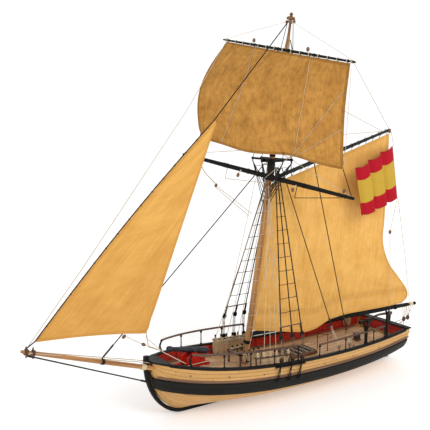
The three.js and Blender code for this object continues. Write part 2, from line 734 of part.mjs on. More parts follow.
function mainsail() {
  const luffGap = mastRadius + 1.6;
  const luff = straight(vec(mastX(90) + luffGap, -1.2, 91), vec(mastX(281) + luffGap, -1.8, 282));
  const leech = new THREE.CatmullRomCurve3([vec(212, -34, 96.4), vec(213, -34.8, 115), vec(194, -35.6, 137),
    vec(169, -36.6, 168), vec(160, -37.2, 204), vec(161.5, -37.6, 250), vec(163, -38.3, 300),
    vec(163.5, -38.5, 346)]);
  return sail(luff, v => leech.getPoint(v), vec(0, -8, 0), 9, 11);
}

function flag() {
  const fly = straight(vec(112, -58, 236), vec(104, -58, 304));
  const hoist = straight(vec(176, -46, 258), vec(169, -46, 329));
  return sail(fly, hoist, vec(0, -3, 0), 6, 3);
}

// ---- Square rig -----------------------------------------------------------------------------
const courseCentre = vec(mastX(293.6) - 8.2, 0, 293.6);
const courseArm = vec(0.524, -0.826, -0.208).normalize();
const topsailCentre = vec(mastX(457) - 5.6, 0, 457);
const topsailArm = vec(0.081, -0.981, -0.175).normalize();

function yard(centre, arm, half, middle, tip) {
  const port = centre.clone().addScaledVector(arm, half);
  const starboard = centre.clone().addScaledVector(arm, -half);
  return turned(port, starboard, [[0, tip], [0.5, middle], [1, tip]], 10);
}

function topsail() {
  const drop = 3.6;
  const headPort = topsailCentre.clone().addScaledVector(topsailArm, 116).add(vec(0, 0, -drop));
  const headStarboard = topsailCentre.clone().addScaledVector(topsailArm, -116).add(vec(0, 0, -drop));
  const portLeech = straight(vec(24, -92, 305.6), headPort);
  const line = straight(vec(-70, 88, 341), headStarboard);
  const starboardLeech = v => line(v).add(vec(-24 * Math.sin(Math.PI * v), 0, 0));
  return sail(portLeech, starboardLeech, vec(-16, 0, 0), 9, 8);
}

// ---- Jib --------------------------------------------------------------------------------------
const jibTack = vec(-352, -8.5, 127.5);
const jibHead = vec(-110, -2.8, 366);

function jib() {
  const clew = vec(-217.4, -15.5, 116);
  const head = jibHead.clone().add(vec(2, -0.3, -3));
  return sail(straight(jibTack, jibHead), straight(clew, head), vec(0, -7, 0), 7, 9);
}

// ---- The model ------------------------------------------------------------------------------
add('keel', keel(), 'black');
add('centre_former', centreFormer(), 'plywood', 0.8);
bulkheadStations.forEach((s, i) => add(`bulkhead_${i + 1}`, bulkhead(s), 'plywood', 0.8));
const planks = planking();
add('planking_port', planks.port, 'yellowWood', 0.5);
add('planking_starboard', planks.starboard, 'yellowWood', 0.5);
addPair('wale', waleStrake(), 'black');
addPair('bulwark_lining', bulwarkLining(), 'red');
addPair('cap_rail', capRail(), 'black');
add('breast_hook', breastHook(), 'black');
add('transom', transom(), 'yellowWood', 0.5);
add('taffrail', taffrail(), 'black');
add('deck', deck(), 'deckWood', 0.7);
add('hatch_coaming', hatchCoaming(), 'walnut');
add('hatch_grating', hatchGrating(), 'deckWood');
add('mast', mast(), 'mastWood', 0.5);
add('mast_truck', mastTruck(), 'brass', 0.4, 0.8);
add('crosstrees', crosstrees(), 'black');
add('bowsprit', bowsprit(), 'mastWood', 0.5);
addPair('channel', channel(), 'black');
addPair('shrouds', shrouds(), 'tarred', 0.9);
addPair('backstays', backstays(), 'tarred', 0.9);
add('forestay', forestay(), 'tarred', 0.9);
add('topmast_stay', topmastStay(), 'rope', 0.9);
add('bobstay', bobstay(), 'tarred', 0.9);
addPair('handrail_fore', handrail([0.103, 0.195, 0.281, 0.367, 0.46], 75.7, 84.7, 0.4), 'walnut');
addPair('handrail_aft', handrail([0.55, 0.665, 0.8, 0.855], 72.6, 69.7, 0.4), 'walnut');
addPair('pin_rail', pinRail(), 'walnut');
add('fife_rail', fifeRail(), 'walnut');
add('boom_crutch', boomCrutch(), 'black');
add('swivel_post', swivelPost(), 'walnut');
add('swivel_yoke', swivelYoke(), 'iron', 0.5, 0.6);
add('swivel_barrel', swivelBarrel(), 'iron', 0.5, 0.6);
add('binnacle', binnacleBox(), 'walnut');
add('gun_slide', gunSlide(), 'red');
add('gun_carriage', gunCarriage(), 'red');
add('gun_barrel', gunBarrel(), 'iron', 0.5, 0.6);
add('rudder', rudder(), 'black');
add('tiller', tiller(), 'walnut');
add('boom', boom(), 'black');
add('gaff', gaff(), 'black');
add('mainsail', mainsail(), 'sail', 0.9);
add('flag', flag(), 'flagRed', 0.9);
add('course_yard', yard(courseCentre, courseArm, 122.2, 2.9, 1.8), 'black');
add('topsail_yard', yard(topsailCentre, topsailArm, 124.7, 2.4, 1.4), 'black');
add('topsail', topsail(), 'sail', 0.9);
add('jib', jib(), 'sail', 0.9);

export default cutter;
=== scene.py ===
"""Looks of a display model of a single-masted gun cutter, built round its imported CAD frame.

The builders below take millimetres, in the frame's own axes: +X aft, -Y to port, +Z up.
make() scales a finished shape to metres once.
"""

import math

import bmesh
import bpy
import numpy as np
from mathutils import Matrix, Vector


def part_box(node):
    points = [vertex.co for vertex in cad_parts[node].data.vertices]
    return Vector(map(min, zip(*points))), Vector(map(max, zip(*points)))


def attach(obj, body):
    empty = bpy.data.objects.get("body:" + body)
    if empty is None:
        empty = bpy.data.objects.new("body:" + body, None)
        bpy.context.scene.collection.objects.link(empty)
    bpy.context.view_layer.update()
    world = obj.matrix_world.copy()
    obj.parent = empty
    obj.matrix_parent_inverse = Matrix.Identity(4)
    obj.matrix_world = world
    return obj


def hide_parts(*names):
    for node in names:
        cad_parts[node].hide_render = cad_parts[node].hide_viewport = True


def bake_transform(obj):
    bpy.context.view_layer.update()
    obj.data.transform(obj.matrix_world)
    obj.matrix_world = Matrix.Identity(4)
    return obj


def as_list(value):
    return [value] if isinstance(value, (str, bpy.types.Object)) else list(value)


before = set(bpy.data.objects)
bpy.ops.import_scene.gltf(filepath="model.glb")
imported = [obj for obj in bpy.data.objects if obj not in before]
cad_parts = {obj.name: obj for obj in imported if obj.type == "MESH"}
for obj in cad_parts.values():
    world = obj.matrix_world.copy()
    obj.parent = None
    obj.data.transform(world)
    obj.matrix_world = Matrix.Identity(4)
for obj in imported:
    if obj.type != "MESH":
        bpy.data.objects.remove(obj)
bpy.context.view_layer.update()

# ---- Driving dimensions, as in the CAD, in millimetres -------------------------------------------
MM = 0.001
HULL_LENGTH = 420
HALF_BEAM = 60
HALF_TRANSOM = 49
LOWEST_RAIL = 51.2
SHEER_LOW = 0.658
SHEER_RISE = 53.4
KEEL_DEPTH = 5
KEEL_HALF = 2.5
PLANK = 1.8
WALE = 1.7
BULWARK = 14
CAMBER = 1.6
DECK_PLANK = 4.6
TRANSOM_RAKE = 0.13
FOREFOOT_X = -157
MAST_HEEL_X = -49.4
MAST_REFERENCE = 105
MAST_RAKE = 0.1589
MAST_TIP = 496
GAP = 0.3
PORT, STARBOARD = -1, 1
SIDES = (("port", PORT), ("starboard", STARBOARD))


def vec(x, y, z):
    return np.array((x, y, z), float)


def unit(v):
    return np.asarray(v, float) / np.linalg.norm(v)


def lerp(a, b, t):
    return a + (b - a) * t


# ---- Camera, light and floor ---------------------------------------------------------------------
def stand_camera():
    """The photograph's view: from off the port bow, a little above the rail."""
    data = bpy.data.cameras.new("camera")
    data.sensor_width = 36
    data.lens = 62.51
    data.clip_start, data.clip_end = 0.01, 50
    camera = bpy.data.objects.new("camera", data)
    bpy.context.scene.collection.objects.link(camera)
    azimuth, drop = math.radians(-34.47), math.radians(8.058)
    back = Vector((math.sin(azimuth) * math.cos(drop), -math.cos(azimuth) * math.cos(drop), math.sin(drop)))
    camera.location = (-0.6372, -0.7716, 0.3800)
    camera.rotation_mode = "QUATERNION"
    camera.rotation_quaternion = (-back).to_track_quat("-Z", "Y")
    bpy.context.scene.camera = camera


def soft_light(name, place, aim, size, power):
    data = bpy.data.lights.new(name, "AREA")
    data.shape = "DISK"
    data.size = size
    data.energy = power
    lamp = bpy.data.objects.new(name, data)
    bpy.context.scene.collection.objects.link(lamp)
    lamp.location = place
    lamp.rotation_mode = "QUATERNION"
    lamp.rotation_quaternion = (Vector(aim) - Vector(place)).to_track_quat("-Z", "Y")


def light_studio():
    world = bpy.data.worlds.new("studio")
    world.use_nodes = True
    world.node_tree.nodes["Background"].inputs["Color"].default_value = (1, 1, 1, 1)
    world.node_tree.nodes["Background"].inputs["Strength"].default_value = 0.7
    bpy.context.scene.world = world
    bpy.context.scene.view_settings.view_transform = "Standard"
    soft_light("key", (0.1, -1.7, 1.3), (0, 0, 0.2), 1.2, 15)
    soft_light("fill", (-1.6, -0.4, 0.6), (0, 0, 0.2), 1.4, 3)


def lay_floor():
    """A wide pale floor that curves up behind the model, so that no horizon shows."""
    steps = 24
    profile = [(-4.0, 0.0), (1.2, 0.0)]
    radius = 1.5
    for i in range(1, steps + 1):
        turn = math.radians(90 * i / steps)
        profile.append((1.2 + radius * math.sin(turn), radius * (1 - math.cos(turn))))
    profile.append((1.2 + radius, 5.0))
    away = Vector((math.sin(math.radians(34.47)), math.cos(math.radians(34.47)), 0))
    across = Vector((away.y, -away.x, 0))
    verts = [away * d + across * side + Vector((0, 0, h)) for d, h in profile for side in (-5, 5)]
    faces = [(2 * i, 2 * i + 1, 2 * i + 3, 2 * i + 2) for i in range(len(profile) - 1)]
    mesh = bpy.data.meshes.new("floor")
    mesh.from_pydata(verts, [], faces)
    mesh.shade_smooth()
    mesh.materials.append(floor_paper())
    floor = bpy.data.objects.new("floor", mesh)
    bpy.context.scene.collection.objects.link(floor)


# ---- Shader helpers ------------------------------------------------------------------------------
class Shader:
    """A material under construction: node() adds a node and links or sets its inputs."""

    def __init__(self, name, roughness, metallic=0.0, gloss=0.5):
        self.material = bpy.data.materials.new(name)
        self.material.use_nodes = True
        self.tree = self.material.node_tree
        self.surface = self.tree.nodes["Principled BSDF"]
        self.set(self.surface, Roughness=roughness, Metallic=metallic, Specular_IOR_Level=gloss)

    def set(self, made, **inputs):
        for key, value in inputs.items():
            socket = made.inputs[int(key[1:])] if key[1:].isdigit() else made.inputs[key.replace("_", " ")]
            if isinstance(value, bpy.types.NodeSocket):
                self.tree.links.new(value, socket)
            else:
                socket.default_value = value

    def node(self, kind, settings=None, **inputs):
        made = self.tree.nodes.new("ShaderNode" + kind)
        for key, value in (settings or {}).items():
            setattr(made, key, value)
        self.set(made, **inputs)
        return made

    def math(self, operation, a, b=0.0, c=0.0):
        return self.node("Math", {"operation": operation}, i0=a, i1=b, i2=c).outputs[0]

    def times(self, a, b):
        return self.math("MULTIPLY", a, b)

    def plus(self, a, b):
        return self.math("ADD", a, b)

    def less(self, a, b):
        return self.math("SUBTRACT", a, b)

    def place(self):
        """Coordinates in the frame, in millimetres."""
        coordinates = self.node("TexCoord").outputs["Object"]
        return self.node("VectorMath", {"operation": "SCALE"}, Vector=coordinates, Scale=1 / MM).outputs[0]

    def grain_map(self):
        """The piece's own map: turns round it, or the plank's number, and millimetres along it."""
        return self.node("UVMap", {"uv_map": "grain"}).outputs[0]

    def stretch(self, vector, scale):
        return self.node("Mapping", Vector=vector, Scale=scale).outputs[0]

    def noise(self, vector, scale, detail=3.0, rough=0.5):
        made = self.node("TexNoise", Vector=vector, Scale=scale, Detail=detail, Roughness=rough)
        return made.outputs["Fac"]

    def between(self, value, low, high):
        """0 below low, 1 above high, smooth between."""
        ramp = self.node(
            "MapRange", {"interpolation_type": "SMOOTHSTEP"}, Value=value, From_Min=low, From_Max=high
        )
        return ramp.outputs["Result"]

    def mix(self, share, a, b):
        made = self.node("Mix", {"data_type": "RGBA"}, i0=share, i6=a, i7=b)
        return made.outputs[2]

    def finish(self, colour, height=None, depth=0.2, roughness=None):
        """depth is the relief's height in millimetres."""
        self.set(self.surface, Base_Color=colour)
        if roughness is not None:
            self.set(self.surface, Roughness=roughness)
        if height is not None:
            bump = self.node("Bump", Strength=1.0, Distance=depth * MM, Height=height)
            self.set(self.surface, Normal=bump.outputs["Normal"])
        return self.material


def rgb(red, green, blue):
    """A colour as seen on screen, 0 to 255, in the linear values that shaders use."""
    linear = [((v / 255 + 0.055) / 1.055) ** 2.4 if v > 10 else v / 3294.6 for v in (red, green, blue)]
    return (*linear, 1.0)


# ---- Materials -----------------------------------------------------------------------------------
def floor_paper():
    sh = Shader("floor_paper", 0.9)
    sh.set(sh.surface, Emission_Color=(1, 1, 1, 1), Emission_Strength=0.3)
    speck = sh.noise(sh.place(), 0.05)
    return sh.finish(sh.mix(speck, (0.86, 0.86, 0.86, 1), (0.9, 0.9, 0.9, 1)), speck, 0.05)


def planked(name, light, dark, seam, length, width, roughness, seam_dark, variety=0.55, gloss=0.4):
    """Boards laid side by side: each board has its own shade, fine grain, dark seams and staggered butts."""
    sh = Shader(name, roughness, 0.0, gloss)
    split = sh.node("SeparateXYZ", Vector=sh.grain_map())
    across, along = split.outputs[0], split.outputs[1]
    number = sh.math("FLOOR", across)
    stretch_number = sh.math("FLOOR", sh.math("DIVIDE", along, length))
    board = sh.node("CombineXYZ", X=number, Y=stretch_number).outputs[0]
    shade = sh.node("TexWhiteNoise", {"noise_dimensions": "2D"}, Vector=board).outputs["Value"]
    shift = sh.times(shade, 40.0)
    shifted = sh.math("MULTIPLY_ADD", across, width, shift)
    grain_place = sh.node("CombineXYZ", X=shifted, Y=along, Z=shift).outputs[0]
    fine = sh.noise(sh.stretch(grain_place, (2.6, 0.07, 1)), 1.0, 5.0, 0.6)
    broad = sh.noise(sh.stretch(grain_place, (0.5, 0.02, 1)), 1.0, 2.0)
    tone = sh.plus(sh.times(shade, variety), sh.times(broad, 1.05 - variety))
    wood = sh.mix(sh.between(tone, 0.15, 0.95), dark, light)
    streaked = sh.mix(sh.times(sh.between(fine, 0.5, 0.72), 0.45), wood, seam)
    side = sh.math("PINGPONG", across, 0.5)
    butt = sh.math("PINGPONG", sh.math("DIVIDE", along, length), 0.5)
    beside = sh.between(side, 0.12 / width, 0.42 / width)
    line = sh.math("MINIMUM", beside, sh.between(butt, 0.15 / length, 0.4 / length))
    joint = sh.times(sh.less(1.0, line), seam_dark)
    height = sh.plus(line, sh.times(fine, 0.25))
    rough = sh.math("MULTIPLY_ADD", fine, 0.25, roughness - 0.1)
    return sh.finish(sh.mix(joint, streaked, seam), height, 0.22, rough)


def timber(name, light, dark, roughness=0.45, by_place=None):
    """Solid wood with grain along it; by_place stretches the grain in the frame's axes, not the map's."""
    sh = Shader(name, roughness)
    if by_place is None:
        split = sh.node("SeparateXYZ", Vector=sh.grain_map())
        turn = sh.times(split.outputs[0], math.tau)
        place = sh.node(
            "CombineXYZ",
            X=sh.times(sh.math("SINE", turn), 2.2),
            Y=sh.times(sh.math("COSINE", turn), 2.2),
            Z=sh.times(split.outputs[1], 0.045),
        ).outputs[0]
    else:
        place = sh.stretch(sh.place(), by_place)
    fine = sh.noise(place, 1.6, 5.0, 0.62)
    broad = sh.noise(place, 0.35, 2.0)
    wood = sh.mix(sh.between(broad, 0.3, 0.7), dark, light)
    pores = sh.times(sh.between(fine, 0.52, 0.7), 0.55)
    rough = sh.math("MULTIPLY_ADD", fine, 0.3, roughness - 0.12)
    return sh.finish(sh.mix(pores, wood, dark), fine, 0.12, rough)


def painted(name, colour, worn, roughness=0.42):
    """Brushed paint: faint brush marks, dust in patches here and there and a little of the wood at worn
    places.
    """
    sh = Shader(name, roughness, 0.0, 0.14)
    place = sh.place()
    brush = sh.noise(sh.stretch(place, (0.12, 0.9, 0.9)), 1.0, 4.0)
    cloud = sh.noise(place, 0.06, 2.0)
    chips = sh.between(sh.noise(place, 0.55, 6.0, 0.7), 0.66, 0.74)
    faded = sh.mix(sh.times(sh.between(cloud, 0.3, 0.75), 0.5), colour, sh.mix(0.35, colour, worn))
    wear = sh.times(chips, 0.4)
    rough = sh.math("MULTIPLY_ADD", brush, 0.25, roughness - 0.1)
    return sh.finish(sh.mix(wear, faded, worn), brush, 0.12, rough)


def rope_fibre(name, light, dark):
    """Laid rope: strands that wind round it, with painted shade darkening the hollows between them."""
    sh = Shader(name, 0.95, 0.0, 0.15)
    split = sh.node("SeparateXYZ", Vector=sh.grain_map())
    winding = sh.math("MULTIPLY_ADD", split.outputs[0], 3.0, sh.math("DIVIDE", split.outputs[1], 2.6))
    lay = sh.math("PINGPONG", winding, 0.5)
    # Painted shade in the hollows between the strands.
    hollow = sh.between(lay, 0.02, 0.3)
    cloud = sh.noise(sh.place(), 0.08, 3.0)
    tone = sh.times(hollow, sh.math("MULTIPLY_ADD", cloud, 0.5, 0.65))
    return sh.finish(sh.mix(tone, dark, light), lay, 0.35)


def cloth_threads(sh, place, pitch):
    """A plain weave in the map's millimetres: returns its relief."""
    split = sh.node("SeparateXYZ", Vector=place)
    warp = sh.math("SINE", sh.times(split.outputs[0], math.tau / pitch))
    weft = sh.math("SINE", sh.times(split.outputs[1], math.tau / pitch))
    return sh.times(warp, weft), split


def sailcloth(name, light, dark, hem, panel, seam_shade, crumple, reef=None, foot_shade=0.0, hem_shade=0.22):
    """Dyed woven cloth with faint seams and a doubled hem whose darkening is partly painted shade, and
    painted shade that darkens it towards the foot.

    panel is the width between seams and reef the height of a row of gathers, in millimetres.
    """
    sh = Shader(name, 0.9, 0.0, 0.12)
    place = sh.grain_map()
    weave, split = cloth_threads(sh, place, 0.9)
    slub = sh.noise(sh.stretch(place, (1.6, 0.05, 1)), 1.0, 3.0)
    cross = sh.noise(sh.stretch(place, (0.05, 1.6, 1)), 1.0, 3.0)
    cloud = sh.noise(place, 0.035, 4.0, 0.55)
    crease = sh.noise(sh.stretch(place, (1, 0.7, 1)), 0.15, 5.0, 0.62)
    streak = sh.noise(sh.stretch(place, (1.0, 0.012, 1)), 1.0, 2.0)
    tone = sh.plus(sh.times(cloud, 0.8), sh.times(sh.plus(slub, cross), 0.25))
    plain = sh.mix(sh.between(tone, 0.35, 0.9), dark, light)
    # Painted shade: the cloth darkens along the crease noise, as its creases would lie in shade.
    cloth = sh.mix(sh.times(sh.between(crease, 0.42, 0.66), crumple), plain, hem)
    cloth = sh.mix(sh.times(sh.between(streak, 0.45, 0.62), 0.2), cloth, hem)
    # Painted shade: the cloth darkens over its lowest 190 mm, towards the foot.
    low = sh.times(sh.less(1.0, sh.between(split.outputs[1], 0.0, 190.0)), foot_shade)
    cloth = sh.mix(low, cloth, hem)
    seam_place = sh.math("PINGPONG", split.outputs[0], panel / 2)
    seam = sh.less(1.0, sh.between(seam_place, 0.2, 0.6))
    edge = sh.node("Attribute", {"attribute_name": "edge"}).outputs["Fac"]
    # The hem's darkening is partly the doubled cloth's own colour and partly painted shade, where less light
    # shines through two layers.
    doubled = sh.less(1.0, sh.between(edge, 3.2, 3.7))
    from_stitches = sh.math("ABSOLUTE", sh.less(edge, 3.2))
    stitch_row = sh.less(1.0, sh.between(from_stitches, 0.1, 0.4))
    dashes = sh.between(sh.math("PINGPONG", sh.plus(split.outputs[0], split.outputs[1]), 0.6), 0.2, 0.3)
    stitches = sh.times(stitch_row, dashes)
    shade = sh.math("MAXIMUM", sh.times(doubled, hem_shade), sh.times(seam, seam_shade))
    shade = sh.math("MAXIMUM", shade, sh.times(stitches, 0.6))
    height = sh.plus(sh.times(weave, 0.1), sh.times(doubled, 0.5))
    height = sh.plus(height, sh.times(seam, seam_shade))
    height = sh.plus(height, sh.times(crease, 6 * crumple))
    if reef is not None:
        away = sh.math("ABSOLUTE", sh.less(split.outputs[1], reef))
        row = sh.less(1.0, sh.between(away, 2.0, 8.0))
        # Painted shade darkens the folds of the gathers; the relief below gives them depth.
        gather = sh.times(row, sh.math("PINGPONG", split.outputs[0], 2.1))
        shade = sh.math("MAXIMUM", shade, sh.times(gather, 0.16))
        height = sh.less(height, sh.times(gather, 0.9))
    return sh.finish(sh.mix(shade, cloth, hem), height, 0.35)


def flag_bunting(name, red, yellow):
    """Three bands dyed along the cloth: red, yellow, red. The drop attribute runs 0 to 1 down the hoist."""
    sh = Shader(name, 0.85, 0.0, 0.15)
    place = sh.grain_map()
    weave, _ = cloth_threads(sh, place, 0.7)
    height = sh.node("Attribute", {"attribute_name": "drop"}).outputs["Fac"]
    middle = sh.times(sh.between(height, 0.262, 0.268), sh.less(1.0, sh.between(height, 0.742, 0.748)))
    cloud = sh.noise(place, 0.08, 3.0)
    faded_red = sh.mix(cloud, red, sh.mix(0.3, red, (0.16, 0.01, 0.02, 1)))
    faded_yellow = sh.mix(cloud, yellow, sh.mix(0.25, yellow, (0.25, 0.2, 0.08, 1)))
    edge = sh.node("Attribute", {"attribute_name": "edge"}).outputs["Fac"]
    hem = sh.times(sh.less(1.0, sh.between(edge, 1.3, 1.7)), 0.35)
    colour = sh.mix(middle, faded_red, faded_yellow)
    return sh.finish(sh.mix(hem, colour, (0.16, 0.03, 0.02, 1)), weave, 0.08)


def metal(name, light, dark, roughness, metallic):
    sh = Shader(name, roughness, metallic)
    place = sh.place()
    cast = sh.noise(place, 0.9, 5.0, 0.6)
    cloud = sh.noise(place, 0.15, 3.0)
    rough = sh.math("MULTIPLY_ADD", cast, 0.35, roughness - 0.15)
    return sh.finish(sh.mix(sh.between(cloud, 0.3, 0.75), dark, light), cast, 0.08, rough)


def make_materials():
    return {
        "hull": planked(
            "hull_planks", rgb(216, 168, 100), rgb(190, 142, 80), rgb(122, 82, 42), 118, 5.4,
            roughness=0.4, seam_dark=0.42, variety=0.25,
        ),
        "deck": planked(
            "deck_planks", rgb(220, 178, 132), rgb(174, 131, 93), rgb(46, 30, 20), 84, DECK_PLANK,
            roughness=0.65, seam_dark=0.9,
        ),
        "red": planked(
            "red_bulwark", rgb(208, 44, 26), rgb(170, 30, 20), rgb(66, 12, 9), 96, 5.0,
            roughness=0.5, seam_dark=0.5,
        ),
        "wale": planked(
            "black_wale", rgb(30, 29, 25), rgb(18, 18, 15), rgb(8, 8, 6), 130, 7.0,
            roughness=0.5, seam_dark=0.6, variety=0.3, gloss=0.15,
        ),
        "black": painted("black_paint", rgb(15, 15, 13), rgb(44, 41, 36), 0.5),
        "gaff": painted("grey_black_paint", rgb(38, 40, 42), rgb(80, 80, 76), 0.45),
        "red_solid": painted("red_paint", rgb(190, 36, 22), rgb(120, 34, 22), 0.5),
        "ply": timber("plywood", rgb(214, 184, 134), rgb(172, 134, 86), 0.6, (0.05, 0.9, 1.4)),
        "walnut": timber("walnut", rgb(100, 66, 46), rgb(58, 36, 26)),
        "walnut_cad": timber("walnut_boards", rgb(120, 78, 54), rgb(70, 42, 30), 0.45, (0.06, 0.8, 0.8)),
        "stern": timber("stern_boards", rgb(222, 176, 106), rgb(176, 128, 70), 0.45, (0.8, 0.05, 0.8)),
        "moulding": timber("brown_moulding", rgb(134, 98, 70), rgb(92, 62, 44), 0.5),
        "spar": timber("spar_wood", rgb(194, 140, 76), rgb(134, 88, 44), 0.4),
        "batten": timber("hatch_batten", rgb(190, 165, 130), rgb(146, 118, 86), 0.6),
        "pale": timber("boxwood", rgb(232, 214, 176), rgb(196, 168, 120), 0.5),
        "dark_rope": rope_fibre("tarred_rope", rgb(58, 50, 44), rgb(20, 17, 15)),
        "brown_rope": rope_fibre("brown_rope", rgb(122, 96, 76), rgb(58, 42, 32)),
        "light_rope": rope_fibre("hemp_rope", rgb(228, 215, 190), rgb(150, 124, 92)),
        "tan_rope": rope_fibre("tan_rope", rgb(240, 220, 180), rgb(146, 114, 78)),
        "iron": metal("gun_metal", rgb(44, 49, 58), rgb(19, 22, 27), 0.45, 0.15),
        "brass": metal("old_brass", rgb(160, 118, 76), rgb(96, 66, 40), 0.45, 0.6),
        "main": sailcloth(
            "mainsail_cloth", rgb(240, 188, 107), rgb(220, 165, 83), rgb(168, 112, 50), 19,
            seam_shade=0.08, crumple=0.1, reef=27, foot_shade=0.14,
        ),
        "jib": sailcloth(
            "jib_cloth", rgb(234, 180, 97), rgb(210, 154, 75), rgb(166, 110, 50), 17,
            seam_shade=0.04, crumple=0.1, foot_shade=0.26,
        ),
        # The topsail's colours are darker than the other sails' as painted shade: it is lit from behind and
        # shows its shaded front.
        "topsail": sailcloth(
            "topsail_cloth", rgb(212, 156, 79), rgb(178, 124, 57), rgb(122, 80, 36), 22,
            seam_shade=0.0, crumple=0.36, hem_shade=0.45,
        ),
        "flag": flag_bunting("flag_bunting", rgb(188, 20, 38), rgb(206, 168, 58)),
    }


# ---- Shapes --------------------------------------------------------------------------------------
class Shape:
    """Collects one piece's faces. Each face corner has a place on the grain map: (round, along)."""

    def __init__(self):
        self.points = []
        self.faces = []
        self.grain = []
        self.values = {}

    def face(self, corners, places):
        self.faces.append(tuple(corners))
        self.grain.append(tuple(places))

    def grid(self, rows, wrap=False, closed=False, places=None):
        """Quads over rows of points. wrap joins each row's ends, closed joins the last row to the first."""
        rows = np.asarray(rows, float)
        count, width = rows.shape[:2]
        base = len(self.points)
        self.points.extend(rows.reshape(-1, 3))
        if places is None:
            middle = rows.mean(1)
            lengths = np.linalg.norm(np.diff(np.vstack([middle, middle[:1]]), axis=0), axis=1)
            along = np.concatenate([[0], np.cumsum(lengths)])
            places = [[(c / width, along[r]) for c in range(width + 1)] for r in range(count + 1)]
        for r in range(count if closed else count - 1):
            for c in range(width if wrap else width - 1):
                near, far = r * width, (r + 1) % count * width
                beside = (c + 1) % width
                self.face(
                    (base + near + c, base + near + beside, base + far + beside, base + far + c),
                    (places[r][c], places[r][c + 1], places[r + 1][c + 1], places[r + 1][c]),
                )
        return base

    def cap(self, first, count):
        self.face(range(first, first + count), [(i / count, 0.0) for i in range(count)])

    def solid(self, rows, places=None):
        """A closed body: rows of points round it, with a flat face over the first row and the last."""
        width = len(rows[0])
        base = self.grid(rows, wrap=True, places=places)
        self.cap(base, width)
        self.cap(base + (len(rows) - 1) * width, width)

    def rings(self, centres, directions, radii, sides, closed=False):
        directions = [unit(d) for d in directions]
        side = np.cross(directions[0], (0, 0, 1) if abs(directions[0][2]) < 0.9 else (1, 0, 0))
        turns = [math.tau * k / sides for k in range(sides)]
        rows = []
        for centre, along, radius in zip(centres, directions, radii):
            side = unit(side - along * np.dot(side, along))
            up = np.cross(along, side)
            rows.append([centre + radius * (math.cos(t) * side + math.sin(t) * up) for t in turns])
        if closed:
            self.grid(rows, wrap=True, closed=True)
        else:
            self.solid(rows)

    def tube(self, path, radius, sides=8, closed=False):
        path = np.asarray(path, float)
        radii = np.broadcast_to(radius, len(path))
        if closed:
            directions = np.roll(path, -1, 0) - np.roll(path, 1, 0)
        else:
            directions = np.gradient(path, axis=0)
        self.rings(path, directions, radii, sides, closed)

    def turned(self, start, end, profile, sides=20):
        """A body of revolution: radii at shares of the line from start to end."""
        start, end = np.asarray(start, float), np.asarray(end, float)
        centres = [lerp(start, end, share) for share, _ in profile]
        self.rings(centres, [end - start] * len(profile), [radius for _, radius in profile], sides)

    def ring(self, centre, normal, radius, thickness, sides=20, section=6):
        normal = unit(normal)
        side = unit(np.cross(normal, (0.3, 0.5, 0.8)))
        up = np.cross(normal, side)
        turns = [math.tau * k / sides for k in range(sides)]
        path = [centre + radius * (math.cos(t) * side + math.sin(t) * up) for t in turns]
        self.tube(path, thickness, section, closed=True)

    def ball(self, centre, axis, half, radius, sides=14):
        """An egg shape: half its length along the axis, and its radius across."""
        axis = unit(axis)
        rings = 7
        turns = [math.pi * (k + 0.35) / (rings + 0.7) for k in range(rings + 1)]
        profile = [((1 - math.cos(t)) / 2, radius * math.sin(t)) for t in turns]
        self.turned(centre - axis * half, centre + axis * half, profile, sides)

    def box(self, size, centre, along=(1, 0, 0), up=(0, 0, 1)):
        along, up = unit(along), np.asarray(up, float)
        up = unit(up - along * np.dot(up, along))
        side = np.cross(up, along)
        half = np.asarray(size, float) / 2
        rows = []
        for end in (-1, 1):
            corner = centre + end * half[0] * along
            signs = ((-1, -1), (1, -1), (1, 1), (-1, 1))
            rows.append([corner + a * half[1] * side + b * half[2] * up for a, b in signs])
        self.solid(rows)

    def slab(self, outline, thickness, lift):
        """An outline made into a plate. lift(a, b, h) is the point at height h over the outline's (a, b)."""
        rows = [[lift(a, b, h) for a, b in outline] for h in (0, thickness)]
        self.solid(rows)

    def rope(self, path, radius, sides=6):
        self.tube(path, radius, sides)


def sagging(start, end, sag=0.0, count=2):
    """Points of a line between two points that hangs down by sag in its middle."""
    shares = np.linspace(0, 1, count)
    return [
        lerp(np.asarray(start, float), np.asarray(end, float), t) - vec(0, 0, 4 * sag * t * (1 - t))
        for t in shares
    ]


def smooth_path(points, count):
    """A smooth curve through the points."""
    points = np.asarray(points, float)
    padded = np.vstack([2 * points[0] - points[1], points, 2 * points[-1] - points[-2]])
    path = []
    for t in np.linspace(0, len(points) - 1, count):
        i = min(int(t), len(points) - 2)
        f = t - i
        a, b, c, d = padded[i : i + 4]
        curve = (2 * a - 5 * b + 4 * c - d) * f**2 + (3 * b - a - 3 * c + d) * f**3
        path.append(0.5 * (2 * b + (c - a) * f + curve))
    return path


